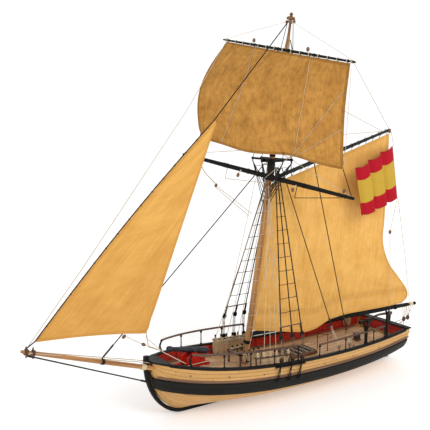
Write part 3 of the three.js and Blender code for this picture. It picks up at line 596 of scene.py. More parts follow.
def make(shape, name, material, body, slot, replaces=(), bevel=0.0, sharp=38):
    """Turns a shape into a piece of one CAD body; given (body, body, start, end) instead, it is left where it
    stands, fixed to neither body.
    """
    mesh = bpy.data.meshes.new(name)
    mesh.from_pydata([tuple(p * MM) for p in shape.points], [], shape.faces)
    grain = mesh.uv_layers.new(name="grain")
    places = [place for face in shape.grain for place in face]
    grain.data.foreach_set("uv", np.array(places, np.float32).ravel())
    for key, values in shape.values.items():
        mesh.attributes.new(key, "FLOAT", "POINT").data.foreach_set("value", np.asarray(values, np.float32))
    build = bmesh.new()
    build.from_mesh(mesh)
    bmesh.ops.recalc_face_normals(build, faces=build.faces)
    build.to_mesh(mesh)
    build.free()
    mesh.shade_smooth()
    mesh.set_sharp_from_angle(angle=math.radians(sharp))
    mesh.materials.append(material)
    piece = bpy.data.objects.new(name, mesh)
    bpy.context.scene.collection.objects.link(piece)
    if bevel:
        ease_edges(piece, bevel)
    if replaces:
        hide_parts(*replaces)
    if isinstance(body, str):
        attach(piece, body)
    else:
        first, second, start, end = body
        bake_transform(piece)
    return piece


def ease_edges(piece, width):
    bevel = piece.modifiers.new("eased_edges", "BEVEL")
    bevel.width = width * MM
    bevel.segments = 2
    bevel.limit_method = "ANGLE"
    bevel.angle_limit = math.radians(40)


# ---- Hull form, as in the CAD --------------------------------------------------------------------
def station(x):
    return x / HULL_LENGTH + 0.5


def station_x(s):
    return (s - 0.5) * HULL_LENGTH


def rail_height(s):
    return LOWEST_RAIL + SHEER_RISE * (s - SHEER_LOW) ** 2


def deck_height(s):
    return rail_height(s) - BULWARK


def wale_top(s):
    return rail_height(s) - 18.8 + 5 * s


def wale_bottom(s):
    return rail_height(s) - 33 + 7 * s


def rail_breadth(s):
    off_middle = abs(2 * s - 1)
    if s < 0.5:
        return HALF_BEAM * max(1 - off_middle**3.4, 0) ** 0.82
    return HALF_BEAM - (HALF_BEAM - HALF_TRANSOM) * off_middle**2.5


def rabbet_height(s):
    ahead = min((FOREFOOT_X - station_x(s)) / 49, 0.999)
    return KEEL_DEPTH + 68 * (1 - math.sqrt(1 - ahead**2)) if ahead > 0 else KEEL_DEPTH


def section_breadth(s, share):
    off_middle = abs(2 * s - 1)
    share = min(max(share, 0.0), 1.0)
    bilge = 7 - 4 * off_middle**1.6
    hollow = 1 + 0.4 * off_middle**2
    inner = KEEL_HALF + GAP
    outer = max(rail_breadth(s), inner + 0.6)
    return inner + (outer - inner) * (1 - (1 - share) ** bilge) ** hollow


def surface(s, share):
    """A point of the port side's surface: s runs 0 to 1 from stem to stern, share from keel to rail."""
    z = lerp(rabbet_height(s), rail_height(s), share)
    lean = min(max(0, (s - 0.8) / 0.18), 1) * TRANSOM_RAKE * (rail_height(s) - z)
    return vec(station_x(s) - lean, -section_breadth(s, share), z)


def hull_point(s, share, outwards=0.0, side=PORT):
    small = 0.004
    here = surface(s, share)
    along = surface(s + small, share) - here
    upwards = surface(s, min(share + small, 1)) - surface(s, min(share, 1 - small))
    point = here + unit(np.cross(along, upwards)) * outwards
    point[1] = min(point[1], -KEEL_HALF - GAP)
    return point * (1, -side, 1)


def share_at(s, height):
    return (height - rabbet_height(s)) / (rail_height(s) - rabbet_height(s))


def rail_point(s, outwards, height, side):
    """A point above the rail's edge, moved out from it (or in), at a height in millimetres."""
    x, y, _ = hull_point(s, 1, outwards, side)
    return vec(x, y, height)


def mast_point(z, x=0.0, y=0.0):
    return vec(MAST_HEEL_X + MAST_RAKE * (z - MAST_REFERENCE) + x, y, z)


MAST_LINE = unit((MAST_RAKE, 0, 1))
STATIONS = np.linspace(0.012, 0.99, 84)
RAIL_TOP = GAP + 1.8
BOWSPRIT_HEEL, BOWSPRIT_TIP = vec(-186, -7.5, 61.8), vec(-368.4, -7.5, 119.4)


def strip(shape, stations, profile, side):
    """A closed strip along the hull. profile(s) lists (share, distance out of the hull) round its section."""
    rows = [[hull_point(s, share, outwards, side) for share, outwards in profile(s)] for s in stations]
    width = len(rows[0])
    places = []
    for s in [*stations, stations[-1]]:
        places.append([(c / width, station_x(s)) for c in range(width + 1)])
    shape.solid(rows, places)


# ---- Hull ----------------------------------------------------------------------------------------
STRAKES = 20
BUTT_SHIFT = 43


def strake_edges():
    """Shares that give strakes of equal width round the midship section."""
    shares = np.linspace(0, 0.995, 400)
    points = np.array([surface(0.5, share) for share in shares])
    girth = np.concatenate([[0], np.cumsum(np.linalg.norm(np.diff(points, axis=0), axis=1))])
    return np.interp(np.linspace(0, girth[-1], STRAKES + 1), girth, shares)


def hull_side(side, edges):
    """Planks from keel to rail, each with eased edges; the inner face is plain, under the linings."""
    shape = Shape()
    ease, groove = 0.07, 0.22
    section, numbers = [], []
    for k, (low, high) in enumerate(zip(edges[:-1], edges[1:])):
        for part in (ease, 0.5, 1 - ease):
            section.append((lerp(low, high, part), 0.0))
            numbers.append(k + part)
        if k < STRAKES - 1:
            section.append((high, -groove))
            numbers.append(k + 1.0)
    rows = [[hull_point(s, share, outwards, side) for share, outwards in section] for s in STATIONS]
    inner = [[hull_point(s, share, -PLANK, side) for share in np.linspace(0.995, 0.0, 16)] for s in STATIONS]
    rows = [outside + inside for outside, inside in zip(rows, inner)]
    numbers += [STRAKES - 0.5] * 17
    places = []
    for s in [*STATIONS, STATIONS[-1]]:
        places.append([(n, station_x(s) + BUTT_SHIFT * math.floor(min(n, STRAKES - 0.5))) for n in numbers])
    base = len(shape.points)
    width = len(rows[0])
    shape.points.extend(np.array(rows).reshape(-1, 3))
    for r in range(len(rows) - 1):
        for c in range(width):
            beside = (c + 1) % width
            plank = min(math.floor(numbers[c] + 1e-6), STRAKES - 1)
            slip = BUTT_SHIFT * plank
            x0, x1 = station_x(STATIONS[r]) + slip, station_x(STATIONS[r + 1]) + slip
            n0, n1 = numbers[c], max(numbers[c + 1], numbers[c])
            near, far = base + r * width, base + (r + 1) * width
            shape.face(
                (near + c, near + beside, far + beside, far + c),
                ((n0, x0), (n1 - 1e-4, x0), (n1 - 1e-4, x1), (n0, x1)),
            )
    shape.cap(base, width)
    shape.cap(base + (len(rows) - 1) * width, width)
    return shape


def boards(shape, stations, heights, near, far, side, width):
    """A strip of boards on the hull between two heights, given as functions of the station."""
    low, high = heights
    count = 9
    rows = []
    for s in stations:
        shares = np.linspace(max(share_at(s, low(s)), 0.02), share_at(s, high(s)), count)
        outside = [hull_point(s, share, far, side) for share in shares]
        inside = [hull_point(s, share, near, side) for share in shares[::-1]]
        rows.append(outside + inside)
    spread = [k * width / (count - 1) for k in range(count)]
    numbers = spread + spread[::-1] + spread[:1]
    places = [[(n, station_x(s)) for n in numbers] for s in [*stations, stations[-1]]]
    shape.solid(rows, places)


def build_hull(mats):
    edges = strake_edges()
    for word, side in SIDES:
        planks = hull_side(side, edges)
        make(planks, f"strakes_{word}", mats["hull"], "hull", "hull_planks", [f"planking_{word}"])
        shape = Shape()
        boards(shape, STATIONS, (wale_bottom, wale_top), 0.4, 2 * GAP + WALE, side, 2)
        make(shape, f"wale_planks_{word}", mats["wale"], "hull", "black_paint", [f"wale_{word}"], bevel=0.3)
        shape = Shape()
        lining_stations = np.linspace(0.055, 0.975, 60)
        floor_edge, cap_edge = (lambda s: deck_height(s) + 0.6), (lambda s: rail_height(s) - 0.5)
        boards(shape, lining_stations, (floor_edge, cap_edge), -3.6, -2.4, side, 3)
        make(shape, f"red_boards_{word}", mats["red"], "hull", "red_paint", [f"bulwark_lining_{word}"])
        moulding(word, side, mats)
        cap_rail(word, side, mats)
        timberheads(word, side, mats)
    keel(mats)
    stern(mats)
    bow_platform(mats)


def moulding(word, side, mats):
    """A brown half-round along the top of the wale, and bolt heads in the planks above it."""
    shape = Shape()

    def section(s):
        base = wale_top(s) + 0.1
        rise = 3.6
        lowest, highest = share_at(s, base), share_at(s, base + rise)
        return [
            (lerp(lowest, highest, (1 - math.cos(t)) / 2), 0.1 + 1.6 * math.sin(t))
            for t in np.linspace(0, math.pi, 7)
        ]

    strip(shape, STATIONS[1:], section, side)
    make(shape, f"moulding_{word}", mats["moulding"], "hull", "walnut")
    shape = Shape()
    spots = [-168, -122, -72, -24, 30, 84, 138]
    for x in spots:
        s = station(x)
        share = share_at(s, rail_height(s) - 9.5)
        at, out = hull_point(s, share, -0.4, side), hull_point(s, share, 0.35, side)
        shape.turned(at, out, [(0, 0.9), (0.8, 0.9), (1, 0.6)], 10)
    make(shape, f"bolts_{word}", mats["black"], "hull", "black_paint")


def cap_rail(word, side, mats):
    """The plank that caps the bulwark, with rounded edges and a lip down over the planking."""
    shape = Shape()
    outer, inner, rise, ease, lip = 1.3, -4.4, 1.8, 0.5, -1.5
    corners = [
        (0.15, 0), (0.15, lip), (outer - ease, lip), (outer, lip + ease), (outer, rise - ease),
        (outer - ease, rise), (inner + ease, rise), (inner, rise - ease), (inner, ease), (inner + ease, 0),
    ]
    stations = np.linspace(0.05, 0.975, 80)
    rows = [[rail_point(s, out, rail_height(s) + GAP + up, side) for out, up in corners] for s in stations]
    shape.solid(rows)
    make(
        shape, f"cap_rail_plank_{word}", mats["black"], "hull", "black_paint", [f"cap_rail_{word}"],
        sharp=60,
    )


def timberheads(word, side, mats):
    """Upright ribs against the red boards, and the brown waterway where they meet the deck."""
    shape = Shape()
    for x in np.arange(-140, 190, 24.0):
        s = station(x)
        foot = rail_point(s, -4.5, deck_height(s) + 1.5, side)
        head = rail_point(s, -4.4, rail_height(s) - 0.2, side)
        shape.box((np.linalg.norm(head - foot), 2.4, 1.6), (foot + head) / 2, head - foot, (0, side, 0))
    make(shape, f"timberheads_{word}", mats["red"], "hull", "red_paint", bevel=0.2)
    shape = Shape()
    rows = []
    section = ((0, 0.2), (0, 1.9), (2.6, 1.2), (2.8, 0.4))
    for s in np.linspace(0.07, 0.955, 60):
        z = deck_height(s)
        inset = -hull_point(s, share_at(s, z), -3.6, PORT)[1] + hull_point(s, 1, 0, PORT)[1]
        edge = rail_point(s, inset - 0.1, z, side)
        rows.append([edge + vec(0, -side * dy, dz) for dy, dz in section])
    shape.solid(rows)
    make(shape, f"waterway_{word}", mats["moulding"], "hull", "walnut")


def keel(mats):
    """Keel, stem and sternpost in one outline, curved at the forefoot."""
    stem = [(FOREFOOT_X - 56 * math.sin(t), 74 - 74 * math.cos(t)) for t in np.linspace(0, math.pi / 2, 40)]
    back = [
        (FOREFOOT_X - 50.5 * math.sin(t), 73 - 68.3 * math.cos(t)) for t in np.linspace(math.pi / 2, 0, 40)
    ]
    outline = [(206, 0), *stem, (-212.5, 82), (-207.5, 82), *back, (202.5, 4.7), (208.6, 52), (212.1, 52)]
    shape = Shape()
    shape.slab(outline, 2 * KEEL_HALF, lambda x, z, h: vec(x, h - KEEL_HALF, z))
    make(shape, "keel_and_stem", mats["black"], "hull", "black_paint", ["keel"], bevel=0.5)


def stern(mats):
    """Mouldings across the transom, two blind ports and the red boards inside it."""
    shape = Shape()

    def on_transom(z, y, out):
        return vec(station_x(0.99) - TRANSOM_RAKE * (rail_height(0.99) - z) + GAP + 2.8 + out, y, z)

    def half_width(z):
        return section_breadth(0.99, share_at(0.99, z)) - 0.4

    for z, thick in ((wale_top(0.99) + 1.5, 1.4), (wale_bottom(0.99), 1.2), (52.4, 1.2)):
        reach = half_width(z)
        path = [on_transom(z, y, 0.5) for y in np.linspace(-reach, reach, 15)]
        shape.tube(path, thick, 8)
    make(shape, "stern_mouldings", mats["moulding"], "hull", "walnut")
    shape = Shape()
    for y in (-24, 24):
        shape.box((11, 1.2, 7.5), on_transom(45.5, y, 0.3), (0, 1, 0), (0, 0, 1))
    make(shape, "stern_ports", mats["black"], "hull", "black_paint", bevel=0.4)
    shape = Shape()
    rows, places = [], []
    for z in np.linspace(deck_height(0.985) + 1, rail_height(0.99) - 0.4, 6):
        reach = half_width(z) - 3.2
        across = np.linspace(-reach, reach, 13)
        rows.append(
            [on_transom(z, y, out - 3.1) for out in (-0.9, 0) for y in (across if out else across[::-1])]
        )
        places.append([(z / 5, y) for y in (*across, *across[::-1], across[0])])
    shape.solid(rows, [*places, places[-1]])
    make(shape, "stern_lining", mats["red"], "hull", "red_paint")


def bow_platform(mats):
    """The black knee over the stem, its planks and the stemhead."""
    shape = Shape()
    stations = np.linspace(0.012, 0.062, 12)
    for side in (PORT, STARBOARD):
        rows = []
        for s in stations:
            base = rail_height(s) + GAP
            across = [rail_point(s, 1.2, base, side), rail_point(s, 1.2, base + 2.0, side)]
            centre = vec(across[0][0], 0, base + 2.0)
            across += [lerp(across[1], centre, t) for t in (0.33, 0.66, 1.0)]
            across.append(centre - vec(0, 0, 2.0))
            rows.append(across)
        shape.solid(rows)
    make(shape, "bow_planks", mats["black"], "hull", "black_paint", ["breast_hook"], sharp=50)
    shape = Shape()
    shape.box((5.0, 4.6, 6), (-208.8, 0, 77.6))
    shape.box((6.2, 5.8, 1.2), (-208.8, 0, 81.0))
    make(shape, "stemhead", mats["black"], "hull", "black_paint", bevel=0.4)
    shape = Shape()
    entry = hull_point(station(-206), share_at(station(-206), 68.6), 0.2, PORT)
    shape.ring(entry + vec(1.5, -0.4, -0.4), BOWSPRIT_TIP - BOWSPRIT_HEEL, 3.6, 1.1, 24, 8)
    make(shape, "bowsprit_ring", mats["walnut"], "hull", "walnut")


# ---- Deck ----------------------------------------------------------------------------------------
def deck_z(s, y=0.0):
    side = section_breadth(s, share_at(s, deck_height(s))) - 3
    return deck_height(s) + CAMBER * (1 - (y / side) ** 2)


def build_deck(mats):
    shape = Shape()
    stations = np.linspace(0.058, 0.955, 70)
    rows, places = [], []
    for s in stations:
        side = -hull_point(s, share_at(s, deck_height(s) - 1.5), -PLANK - 4 * GAP)[1] - 2 * GAP
        across = np.linspace(-side, side, 15)
        rise = [CAMBER * (1 - (y / side) ** 2) for y in across]
        top = [vec(station_x(s), y, deck_height(s) + up) for y, up in zip(across, rise)]
        under = [vec(station_x(s), y, deck_height(s) - 1.5 + up) for y, up in zip(across, rise)]
        rows.append(top + under[::-1])
        numbers = [y / DECK_PLANK + 40.5 for y in across]
        places.append([(n, station_x(s)) for n in numbers + numbers[::-1] + numbers[:1]])
    places.append(places[-1])
    shape.solid(rows, places)
    make(shape, "deck_boards", mats["deck"], "hull", "deck_planks", ["deck"])


def build_hatch(mats):
    """The hatch, dark in its coaming and crossed by pale battens, with two posts and a line behind it."""
    low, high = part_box("hatch_grating")
    low, high = np.array(low) / MM, np.array(high) / MM
    middle = (low + high) / 2
    shape = Shape()
    shape.box((high[0] - low[0], high[1] - low[1], 0.8), middle - vec(0, 0, 0.6))
    make(shape, "hatch_well", mats["black"], "hull", "black_paint")
    shape = Shape()
    for x in np.linspace(low[0] + 5, high[0] - 5, 4):
        shape.box((high[1] - low[1] - 0.6, 1.4, 1.5), vec(x, middle[1], high[2] - 0.3), (0, 1, 0))
    make(shape, "hatch_battens", mats["batten"], "hull", "deck_planks", ["hatch_grating"], bevel=0.2)
    shape = Shape()
    heads = []
    post = [(0, 1.0), (0.03, 1.0), (0.05, 0.55), (0.97, 0.5), (0.98, 1.0), (1, 0.7)]
    for x, y in ((71, 0), (77, -15)):
        foot = vec(x, y, deck_z(station(x), y))
        head = foot + vec(0, 0, 25)
        shape.turned(foot, head, post, 10)
        heads.append(head - vec(0, 0, 1))
    shape.rope(sagging(*heads, 1.2, 9), 0.3)
    make(shape, "companion_rail", mats["black"], "hull", "black_paint")


def binnacle(mats):
    low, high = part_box("binnacle")
    low, high = np.array(low) / MM, np.array(high) / MM
    middle, size = (low + high) / 2, (high - low) * 0.86
    shape = Shape()
    shape.box(size - (0.6, 0.6, 1.6), middle - vec(0, 0, 0.6))
    shape.box((size[0] + 1.4, size[1] + 1.4, 1.2), middle + vec(0, 0, size[2] / 2 - 0.6))
    shape.box((size[0] + 1.2, size[1] + 1.2, 1.6), middle - vec(0, 0, size[2] / 2))
    make(shape, "binnacle_case", mats["walnut"], "hull", "walnut", ["binnacle"], bevel=0.3)
    shape = Shape()
    for x_out, y_out in ((-1, 0), (0, -1), (1, 0), (0, 1)):
        face = middle + vec(x_out * (size[0] / 2 - 0.4), y_out * (size[1] / 2 - 0.4), -0.3)
        out = vec(x_out, y_out, 0)
        shape.turned(face, face + out * 0.7, [(0, 3.0), (0.7, 3.0), (1, 2.6)], 24)
    make(shape, "binnacle_glass", mats["iron"], "hull", "gun_metal")


def ring_bolts(mats):
    shape = Shape()
    for x, side in (
        (-110, PORT), (-110, STARBOARD), (100, PORT), (128, PORT), (100, STARBOARD), (128, STARBOARD)
    ):
        s = station(x)
        at = rail_point(s, -4.8, deck_height(s) + 6, side)
        shape.ring(at - vec(0, side * 1.2, 0), (1, 0, 0.2), 1.5, 0.35, 16)
        shape.ball(at, (0, 1, 0), 0.8, 0.8)
    for x, y in ((-120, 22), (-120, -22), (20, 30), (20, -30), (120, 24), (120, -24)):
        s = station(x)
        shape.ring(vec(x, y, deck_z(s, y) + 1.3), (0, 1, 0.1), 1.5, 0.35, 16)
    make(shape, "ring_bolts", mats["iron"], "hull", "gun_metal")


def cleats(mats):
    shape = Shape()
    horns = [(0, 0.4), (0.3, 0.9), (0.7, 0.9), (1, 0.4)]
    for side in (PORT, STARBOARD):
        for x in (112, 140, 170):
            s = station(x)
            at = rail_point(s, -5.4, deck_height(s) + 9, side)
            shape.turned(at - vec(4, 0, 0), at + vec(4, 0, 0), horns, 10)
            shape.box((2.2, 1.6, 1.4), at + vec(0, side * 0.9, 0))
    make(shape, "cleats", mats["walnut"], "hull", "walnut")


def build_fittings(mats):
    binnacle(mats)
    ring_bolts(mats)
    cleats(mats)


# ---- Handrails -----------------------------------------------------------------------------------
def handrail(name, node, stations, end_height, start_height, side, mats, curled):
    """A brown rail on black turned stanchions, each with a ball under the rail."""
    first, last = stations[0], stations[-1]

    def head(s):
        return rail_point(s, -0.4, lerp(start_height, end_height, (s - first) / (last - first)), side)

    rail = Shape()
    rows = []
    fine = np.linspace(first, last, 40)
    for s in fine:
        at = head(s)
        turns = [math.tau * k / 10 for k in range(10)]
        rows.append([at + vec(0, 1.7 * math.cos(t), 1.3 * math.sin(t)) for t in turns])
    rail.solid(rows)
    make(rail, name, mats["walnut"], "hull", "walnut", [node])
    posts = Shape()
    for k, s in enumerate(stations):
        foot = rail_point(s, -0.4, rail_height(s) + RAIL_TOP, side)
        top = head(s) - vec(0, 0, 0.6)
        tall = np.linalg.norm(top - foot)
        if k == 0 and curled:
            bend = smooth_path([foot, lerp(foot, top, 0.5) - vec(2.6, 0, 0), top], 12)
            posts.tube(bend, np.linspace(1.5, 1.1, 12), 10)
            posts.ball(top, (0, 0, 1), 1.7, 1.7)
            continue
        profile = [(0, 1.5), (1.2 / tall, 1.4), (1.8 / tall, 0.75), (1 - 3.4 / tall, 0.7)]
        profile += [(1 - 2.6 / tall, 1.5), (1 - 1.4 / tall, 1.6), (1 - 0.4 / tall, 0.9), (1, 0.8)]
        posts.turned(foot, top, profile, 12)
    make(posts, name.replace("rail", "posts"), mats["black"], "hull", "black_paint")


def build_rails(mats):
    fore = (0.103, 0.195, 0.281, 0.367, 0.46)
    aft = (0.55, 0.665, 0.8, 0.855)
    for word, side in SIDES:
        handrail(f"fore_rail_{word}", f"handrail_fore_{word}", fore, 75.7, 84.7, side, mats, True)
        handrail(f"aft_rail_{word}", f"handrail_aft_{word}", aft, 72.6, 69.7, side, mats, False)


# ---- Spars ---------------------------------------------------------------------------------------
BOOM_HEEL, BOOM_END = mast_point(82), vec(236, -37, 90.3)
GAFF_HEEL, GAFF_PEAK = mast_point(287), vec(166, -38.6, 352)
COURSE_YARD = (mast_point(293.6, -8.2), unit((0.524, -0.826, -0.208)), 122.2)
TOPSAIL_YARD = (mast_point(457, -5.6), unit((0.081, -0.981, -0.175)), 124.7)
CROSSTREES, ARM_REACH = 313, 33


def on_yard(yard, reach, ahead=0.0, up=0.0):
    """A point of a yard, its reach in millimetres to port of the mast."""
    centre, arm, _ = yard
    return centre + arm * reach + vec(-ahead, 0, up)


MAST_RADII = ((60, 4), (200, 3.8), (300, 3.4), (325, 3.2), (332, 2.6), (450, 2.1), (MAST_TIP, 1.6))


def mast_radius(z):
    heights, radii = zip(*MAST_RADII)
    return float(np.interp(z, heights, radii))


def mast_band(shape, z, tall, out):
    """A collar round the mast, standing out of it by a distance."""
    radius = mast_radius(z) + out
    shape.turned(
        mast_point(z), mast_point(z + tall),
        [(0, radius - 0.3), (0.15, radius), (0.85, radius), (1, radius - 0.3)],
    )


def jaws(shape, z, towards):
    """Horns that half surround the mast at a spar's heel."""
    centre = mast_point(z)
    out = unit(towards - centre)
    across = unit(np.cross(MAST_LINE, out))
    for up in (-1.2, 1.2):
        turns = np.linspace(-0.42, 0.42, 15) * math.pi
        path = [centre + MAST_LINE * up + 6.1 * (math.cos(t) * out + math.sin(t) * across) for t in turns]
        shape.tube(path, 1.3, 8)


def mast(mats):
    low = 18
    span = MAST_TIP - low
    profile = [((z - low) / span, radius) for z, radius in ((low, 3.6), *MAST_RADII)]
    shape = Shape()
    shape.turned(mast_point(low), mast_point(MAST_TIP), profile, 28)
    make(shape, "mast_pole", mats["spar"], "hull", "spar_wood", ["mast"])
    shape = Shape()
    bands = ((46, 4, 2.2), (70, 4, 1.8), (295, 5, 0.9), (318, 3, 0.8), (328, 4, 0.9), (306, 8, 1.6))
    for z, tall, out in bands:
        mast_band(shape, z, tall, out)
    make(shape, "mast_bands", mats["black"], "hull", "black_paint")
    shape = Shape()
    base, top = mast_point(MAST_TIP + GAP), mast_point(MAST_TIP + 9.5)
    shape.turned(
        base, top,
        [(0, 2.4), (0.03, 5.4), (0.18, 6.0), (0.34, 5.0), (0.4, 2.4),
         (0.55, 1.6), (0.72, 2.5), (0.88, 2.1), (1, 0.6)],
    )
    make(shape, "truck", mats["brass"], "hull", "brass", ["mast_truck"])


def boom_and_gaff(mats):
    for name, z, end, paint, profile in (
        ("boom_spar", 82, BOOM_END, "black", [(0, 3.0), (0.3, 3.6), (0.75, 3.5), (0.955, 2.7), (0.965, 1.7)]),
        ("gaff_spar", 287, GAFF_PEAK, "gaff", [(0, 2.4), (0.35, 2.9), (0.985, 1.8), (1, 1.1)]),
    ):
        heel = mast_point(z)
        start = heel + unit(end - heel) * 6
        shape = Shape()
        shape.turned(start, end if paint == "gaff" else lerp(start, end, 0.985), profile, 24)
        jaws(shape, z, end)
        node = name.split("_")[0]
        make(shape, name, mats[paint], "main_rig", "black_paint", [node])
    shape = Shape()
    shape.turned(
        lerp(BOOM_HEEL, BOOM_END, 0.955), lerp(BOOM_HEEL, BOOM_END, 0.975),
        [(0, 2.5), (0.2, 2.9), (0.8, 2.9), (1, 2.4)],
    )
    make(shape, "boom_band", mats["pale"], "main_rig", "spar_wood")
    shape = Shape()
    shape.ball(lerp(BOOM_HEEL, BOOM_END, 0.987), BOOM_END - BOOM_HEEL, 3.2, 2.6)
    for share in (0.3, 0.62, 0.86):
        at = lerp(BOOM_HEEL, BOOM_END, share)
        shape.turned(
            at - unit(BOOM_END - BOOM_HEEL) * 1.5, at + unit(BOOM_END - BOOM_HEEL) * 1.5,
            [(0, 3.7), (0.2, 4.1), (0.8, 4.1), (1, 3.7)],
        )
    make(shape, "boom_irons", mats["black"], "main_rig", "black_paint")


def bowsprit(mats):
    shape = Shape()
    shape.turned(
        BOWSPRIT_HEEL, BOWSPRIT_TIP,
        [(0, 2.7), (0.04, 2.9), (0.4, 2.9), (0.94, 2.3), (0.99, 2.0), (1, 1.5)], 28,
    )
    make(shape, "bowsprit_spar", mats["spar"], "hull", "spar_wood", ["bowsprit"])
    along = unit(BOWSPRIT_TIP - BOWSPRIT_HEEL)
    shape = Shape()
    for share in (0.925, 0.968):
        at = lerp(BOWSPRIT_HEEL, BOWSPRIT_TIP, share)
        shape.turned(at - along * 2.2, at + along * 2.2, [(0, 3.0), (0.15, 3.7), (0.85, 3.7), (1, 3.0)])
        for drop in ((0, 0, -1), (0, -1, 0), (0, 1, 0), (0, 0, 1)):
            shape.ring(at + vec(*drop) * 4.6, along + vec(0, 0.2, 0), 1.5, 0.7, 12)
    make(shape, "bowsprit_irons", mats["walnut"], "hull", "walnut")
    shape = Shape()
    for k in range(6):
        shape.ring(lerp(BOWSPRIT_HEEL, BOWSPRIT_TIP, 0.16) + along * 1.1 * k, along, 3.1, 0.55, 20)
    make(shape, "gammoning", mats["tan_rope"], "hull", "light_rope")


def yards(mats):
    for name, yard, node, middle, tip in (
        ("course_yard_spar", COURSE_YARD, "course_yard", 3.3, 2.1),
        ("topsail_yard_spar", TOPSAIL_YARD, "topsail_yard", 1.95, 1.25),
    ):
        half = yard[2]
        shape = Shape()
        profile = [(0, tip * 0.6), (0.008, tip), (0.25, lerp(tip, middle, 0.7)), (0.5, middle)]
        profile += [(0.75, lerp(tip, middle, 0.7)), (0.992, tip), (1, tip * 0.6)]
        shape.turned(on_yard(yard, half), on_yard(yard, -half), profile, 24)
        for reach in (-0.9, -0.45, -0.08, 0.08, 0.45, 0.9):
            at = on_yard(yard, reach * half)
            radius = lerp(middle, tip, abs(reach)) + 0.6
            shape.turned(
                at - yard[1] * 1.2, at + yard[1] * 1.2,
                [(0, radius - 0.3), (0.2, radius), (0.8, radius), (1, radius - 0.3)],
            )
        make(shape, name, mats["black"], node, "black_paint", [node])
    shape = Shape()
    for reach in np.linspace(-112, 112, 15):
        at = on_yard(TOPSAIL_YARD, reach)
        shape.ring(at, TOPSAIL_YARD[1], lerp(1.95, 1.25, abs(reach) / 124.7) + 0.4, 0.5, 16)
    make(shape, "robands", mats["light_rope"], "topsail_yard", "light_rope")
    shape = Shape()
    for reach in (-118, 118):
        for turn in range(3):
            shape.ring(on_yard(TOPSAIL_YARD, reach + turn), TOPSAIL_YARD[1], 1.8, 0.35, 14)
    make(shape, "earings", mats["light_rope"], "topsail_yard", "light_rope")
    shape = Shape()
    for reach in (-100, -60, -25, 25, 60, 100):
        radius = lerp(3.3, 2.1, abs(reach) / 122) + 0.3
        for turn in range(3):
            shape.ring(on_yard(COURSE_YARD, reach + turn), COURSE_YARD[1], radius, 0.35, 14)
    make(shape, "yard_seizings", mats["dark_rope"], "course_yard", "dark_rope")


def build_spars(mats):
    mast(mats)
    bowsprit(mats)
    boom_and_gaff(mats)
    yards(mats)


# ---- Sails ---------------------------------------------------------------------------------------
def running_length(points, axis):
    steps = np.linalg.norm(np.diff(points, axis=axis), axis=2)
    start = np.zeros_like(np.take(steps, [0], axis))
    return np.cumsum(np.concatenate([start, steps], axis), axis)


def cloth(name, surface, columns, rows, thickness, material, body, slot, node, flat, area, held, rests_on):
    """A sail or flag over surface(u, v), u going aft and v up, with a bolt rope sewn round it."""
    spread = [[surface(u, v) for u in np.linspace(0, 1, columns + 1)] for v in np.linspace(0, 1, rows + 1)]
    middle = np.array(spread)
    normal = np.cross(np.gradient(middle, axis=1), np.gradient(middle, axis=0))
    normal /= np.linalg.norm(normal, axis=2, keepdims=True)
    along, above = running_length(middle, 1), running_length(middle, 0)
    edge = np.minimum.reduce([along, along[:, -1:] - along, above, above[-1:] - above])
    shape = Shape()
    places = [[(along[r][c], above[r][c]) for c in range(columns + 1)] for r in range(rows + 1)]
    front = shape.grid(middle + normal * thickness / 2, places=places)
    back = shape.grid(middle - normal * thickness / 2, places=places)
    width = columns + 1
    border = [*range(columns)] + [r * width + columns for r in range(rows)]
    border += [rows * width + c for c in range(columns, 0, -1)] + [r * width for r in range(rows, 0, -1)]
    flat_places = [place for row in places for place in row]
    for a, b in zip(border, border[1:] + border[:1]):
        shape.face((front + a, front + b, back + b, back + a), [flat_places[i] for i in (a, b, b, a)])
    shape.values["edge"] = np.tile(edge.ravel(), 2)
    shape.values["drop"] = np.tile(np.repeat(1 - np.linspace(0, 1, rows + 1), width), 2)
    piece = make(shape, name, material, body, slot, [node], sharp=70)
    cord = Shape()
    cord.tube(middle.reshape(-1, 3)[border], thickness * 0.75, 6, closed=True)
    bolt_rope = make(cord, f"{name}_bolt_rope", material, body, slot)
    bolt_rope.data.attributes.new("edge", "FLOAT", "POINT")
    bolt_rope.data.attributes.new("drop", "FLOAT", "POINT")
    if node == "flag":
        drop = [1 - np.linspace(0, 1, rows + 1)[i // width] for i in border]
        bolt_rope.data.attributes["drop"].data.foreach_set("value", np.repeat(drop, 6).astype(np.float32))
    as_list(rests_on)
    return piece


def belly(u, v):
    return math.sin(math.pi * u) * math.sin(math.pi * min(0.12 + v * 0.84, 1))


def spline(points, shares):
    """A function of a share v along a smooth curve through points that stand at the given shares."""
    points = [np.asarray(p, float) for p in points]
    dense = np.array(smooth_path(points, 40 * (len(points) - 1) + 1))
    positions = np.interp(np.linspace(0, 1, len(dense)), np.linspace(0, 1, len(points)), shares)
    return lambda v: np.array([np.interp(v, positions, dense[:, axis]) for axis in range(3)])


LUFF_GAP = 4.6
MAIN_LUFF = (mast_point(87, LUFF_GAP, -0.8), mast_point(281, LUFF_GAP - 0.5, -0.8))
MAIN_LEECH = spline(
    [(207, -34.4, 94), (217, -35.2, 102), (214, -35.4, 115), (195, -35.8, 136), (173, -36.6, 160),
     (159.5, -37.0, 192), (160.5, -37.6, 230), (162.5, -38.3, 300), (163.5, -38.5, 346)],
    [0, 0.035, 0.085, 0.17, 0.265, 0.39, 0.54, 0.82, 1.0],
)
FOOT_POINTS = [
    MAIN_LUFF[0], (-8, -11, 81.5), (20, -14.4, 77), (33, -16, 75.7), (49, -18, 78.4), (63, -19.7, 84.6),
    (75, -21.3, 88.8), (100, -24.5, 92.2), (128, -27.1, 92.7), (176, -31.7, 93), (207, -34.4, 94),
]
MAIN_FOOT = spline(FOOT_POINTS, [(p[0] - MAIN_LUFF[0][0]) / (207 - MAIN_LUFF[0][0]) for p in FOOT_POINTS])


